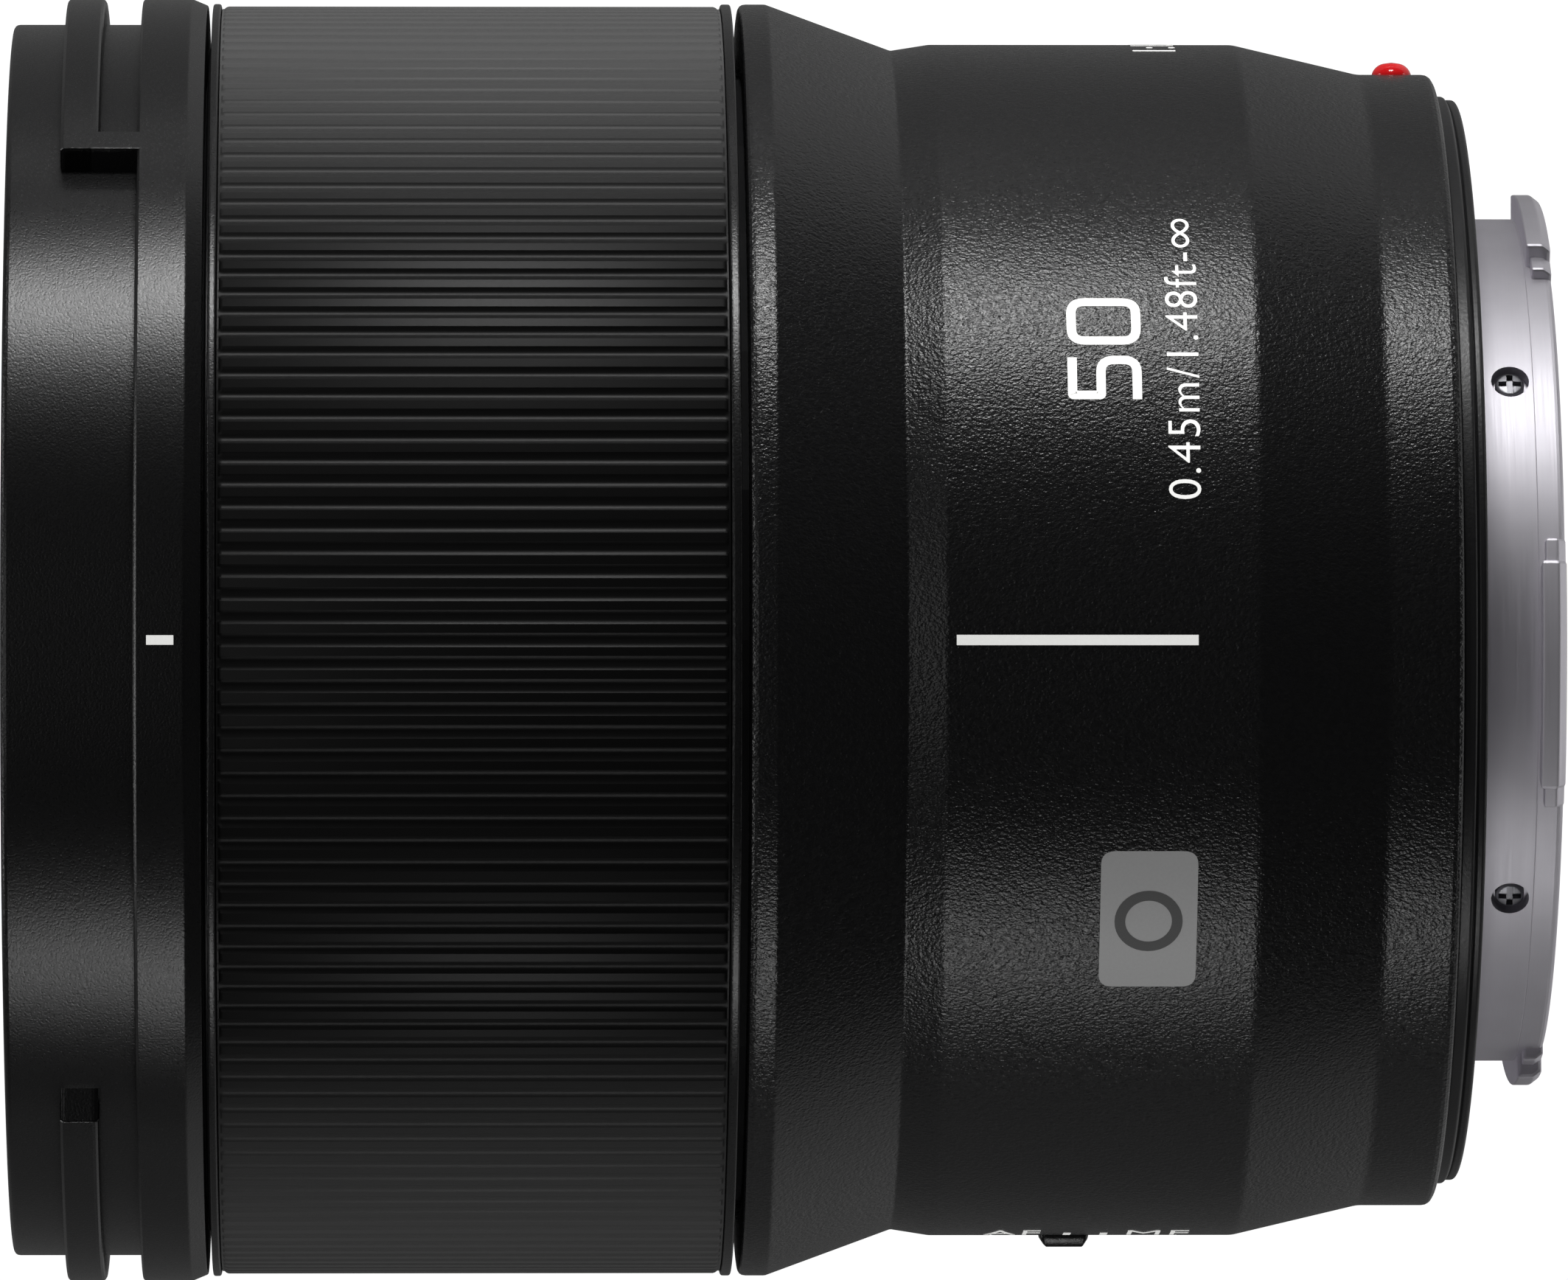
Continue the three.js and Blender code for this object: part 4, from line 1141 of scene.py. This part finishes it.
def build_glass():
    for name, radius, front, back, front_rise, back_rise in GLASS:
        corners = face_curve(radius, front, front_rise)
        corners += [(radius, front, 0.1), (radius, back, 0.1)]
        corners += list(reversed(face_curve(radius, back, back_rise)))
        piece = turned(f"{name}_fine", corners, segments=GLASS_ROUND, on_axis=True)
        outside = name in ("element_1", "element_9")
        body = "focus_group" if name in FOCUSING else "barrel"
        finish = FRONT_GLASS if outside else INNER_GLASS
        dress(shade_smooth(piece, 25), finish, body, "glass", name)


def build_front_cell():
    retainer = turned(
        "front_retainer_fine",
        [(19.2, 12.6, 0.15), (20.1, 12.6, 0.1), (20.1, 14.2, 0), (19.2, 14.2, 0.1)],
        segments=MIDDLE_ROUND,
    )
    dress(shade_round(retainer), INNER_BLACK, "barrel", "satin_black_plastic", "front_retainer")
    cell = turned(
        "front_cell_fine",
        [
            (20.3, 12.2, 0.1),
            (21.6, 12.2, 0.1),
            (21.6, 14.0, 0),
            (30.1, 14.0, 0),
            (30.1, 15.5, 0),
            (21.6, 15.5, 0),
            (21.6, 36.0, 0),
            (18.3, 36.0, 0),
            (18.3, 30.0, 0),
            (17.3, 30.0, 0),
            (17.3, 19.0, 0),
            (16.0, 19.0, 0),
            (16.0, 17.2, 0),
            (20.3, 17.2, 0),
        ],
        segments=MIDDLE_ROUND,
    )
    dress(shade_round(cell), INNER_BLACK, "barrel", "satin_black_plastic", "front_cell")


# ---------- the rest of the frame ----------
def dress_frame():
    """Every CAD node still shown gets its slot's finish."""
    slots = {row["node"]: row["material_slot"] for row in frame["record"]["subparts"]}
    for name, node in frame["nodes"].items():
        node.data.materials.clear()
        node.data.materials.append(SLOT_FINISH[slots[name]])


# ---------- stage ----------
FLOOR_GLOW_RIGHT, FLOOR_GLOW_LEFT, FLOOR_GLOW_REAR, FLOOR_SEEN = 0.058, 0.045, 0.27, 1.0


def pale_table():
    """The table's finish: the camera sees it white, and the lens mirrors it as a dim glow.

    The glow is stronger on the right, and for rays that head to the rear of the lens.
    """
    material, tree, shader = shader_nodes("pale_table")
    where = tree.nodes.new("ShaderNodeTexCoord")
    cloud = add_node(tree, "ShaderNodeTexNoise", Scale=3.0, Detail=2.0)
    tree.links.new(where.outputs["Object"], cloud.inputs["Vector"])
    tinted(tree, shader, (0.2, 0.2, 0.2), cloud.outputs["Fac"], 0.95, 1.05)
    shader.inputs["Roughness"].default_value = 0.9
    shader.inputs["Specular IOR Level"].default_value = 0.1
    path = tree.nodes.new("ShaderNodeLightPath")
    axes = tree.nodes.new("ShaderNodeSeparateXYZ")
    tree.links.new(where.outputs["Object"], axes.inputs["Vector"])
    side = map_range(tree, axes.outputs["X"], -0.08, 0.04, FLOOR_GLOW_RIGHT, FLOOR_GLOW_LEFT)
    incoming = tree.nodes.new("ShaderNodeNewGeometry").outputs["Incoming"]
    heading = tree.nodes.new("ShaderNodeSeparateXYZ")
    tree.links.new(incoming, heading.inputs["Vector"])
    beyond = map_range(tree, heading.outputs["Y"], -0.14, -0.36, 0.0, FLOOR_GLOW_REAR)
    glow = add_node(tree, "ShaderNodeMapRange", To_Max=FLOOR_SEEN)
    tree.links.new(path.outputs["Is Camera Ray"], glow.inputs["Value"])
    tree.links.new(maths(tree, "ADD", side, beyond), glow.inputs["To Min"])
    shader.inputs["Emission Color"].default_value = (1, 1, 1, 1)
    tree.links.new(glow.outputs["Result"], shader.inputs["Emission Strength"])
    return material


def build_floor():
    half = 3.0
    corners = [(-half, -half), (half, -half), (half, half), (-half, half)]
    floor = new_object("floor", [(x, y, TABLE_Z) for x, y in corners], [(0, 1, 2, 3)])
    floor.data.materials.append(pale_table())


def soft_box(name, width, length, power):
    """A rectangular light that the camera doesn't see."""
    light = bpy.data.lights.new(name, "AREA")
    light.shape = "RECTANGLE"
    light.size, light.size_y = width, length
    light.energy = power
    obj = linked(name, light)
    obj.visible_camera = False
    return obj


def area_light(name, degrees_off, side, distance, width, length, power, shift=0.0):
    """A soft box beside the lens: degrees_off the vertical, on the -X side when side is -1."""
    obj = soft_box(name, width, length, power)
    a = math.radians(degrees_off)
    spot = Vector((side * math.sin(a), 0, math.cos(a))) * distance
    aim = (-spot).normalized()
    along = Vector((0, 1, 0)) - aim * aim.y
    along.normalize()
    across = along.cross(-aim)
    turn = Matrix((across, along, -aim)).transposed().to_4x4()
    obj.matrix_world = Matrix.Translation(spot + Vector((0, shift, 0))) @ turn
    return obj


def end_light(name, sign, height, distance, width, tall, power):
    """A soft box beyond one end of the lens."""
    obj = soft_box(name, width, tall, power)
    obj.location = (0, sign * distance, height)
    obj.rotation_mode = "QUATERNION"
    obj.rotation_quaternion = (-obj.location).to_track_quat("-Z", "Y")


def build_lights():
    area_light("box_right", 63, -1, 0.6, 0.10, 0.17, 1.4, 0.005)
    area_light("box_left", 60, 1, 0.6, 0.14, 0.17, 0.40, 0.005)
    for name, side, power in (("fill_right", -1, 2.6), ("fill_left", 1, 0.35)):
        area_light(name, 88, side, 0.5, 0.1, 0.2, power).visible_glossy = False
    area_light("fill_top", 0, 1, 0.6, 0.2, 0.2, 0.4).visible_glossy = False
    end_light("top_box", -1, 0.62, 0.26, 0.5, 0.1, 0.25)
    end_light("front_box", -1, 0.14, 0.8, 0.9, 0.2, 2.6)
    end_light("rear_box", 1, 0.12, 0.8, 0.9, 0.2, 1.0)


def build_world():
    world = bpy.data.worlds.new("studio")
    bpy.context.scene.world = world
    world.use_nodes = True
    tree = world.node_tree
    background = tree.nodes["Background"]
    path = tree.nodes.new("ShaderNodeLightPath")
    strength = spread(tree, path.outputs["Is Camera Ray"], 0.02, 1.0)
    background.inputs["Color"].default_value = (1, 1, 1, 1)
    tree.links.new(strength, background.inputs["Strength"])


SENSOR, FOCAL_LENGTH = 36, 363.9
CAMERA_HEIGHT, CAMERA_STATION, AIM_STATION = 0.911, 22.4, 44.15


def build_camera():
    """Straight above the focus ring and turned a little to the mount, as the lens was seen."""
    data = bpy.data.cameras.new("camera")
    data.sensor_width = SENSOR
    data.lens = FOCAL_LENGTH
    camera = linked("camera", data)
    spot = Vector((0, FRONT_Y + CAMERA_STATION * MM, CAMERA_HEIGHT))
    target = Vector((0, FRONT_Y + AIM_STATION * MM, 0))
    back = (spot - target).normalized()
    up = Vector((-1, 0, 0))
    right = up.cross(back).normalized()
    up = back.cross(right)
    turn = Matrix((right, up, back)).transposed().to_4x4()
    camera.matrix_world = Matrix.Translation(spot) @ turn
    data.clip_start, data.clip_end = 0.05, 20
    bpy.context.scene.camera = camera


build_front_ring()
build_name_ring()
build_focus_seal()
build_focus_ring()
build_barrel()
build_bead()
build_switch()
build_marks()
build_mount()
build_screws()
build_rear()
build_glass()
build_front_cell()
dress_frame()
build_floor()
build_lights()
build_world()
build_camera()

scene = bpy.context.scene
scene.view_settings.view_transform = "Standard"
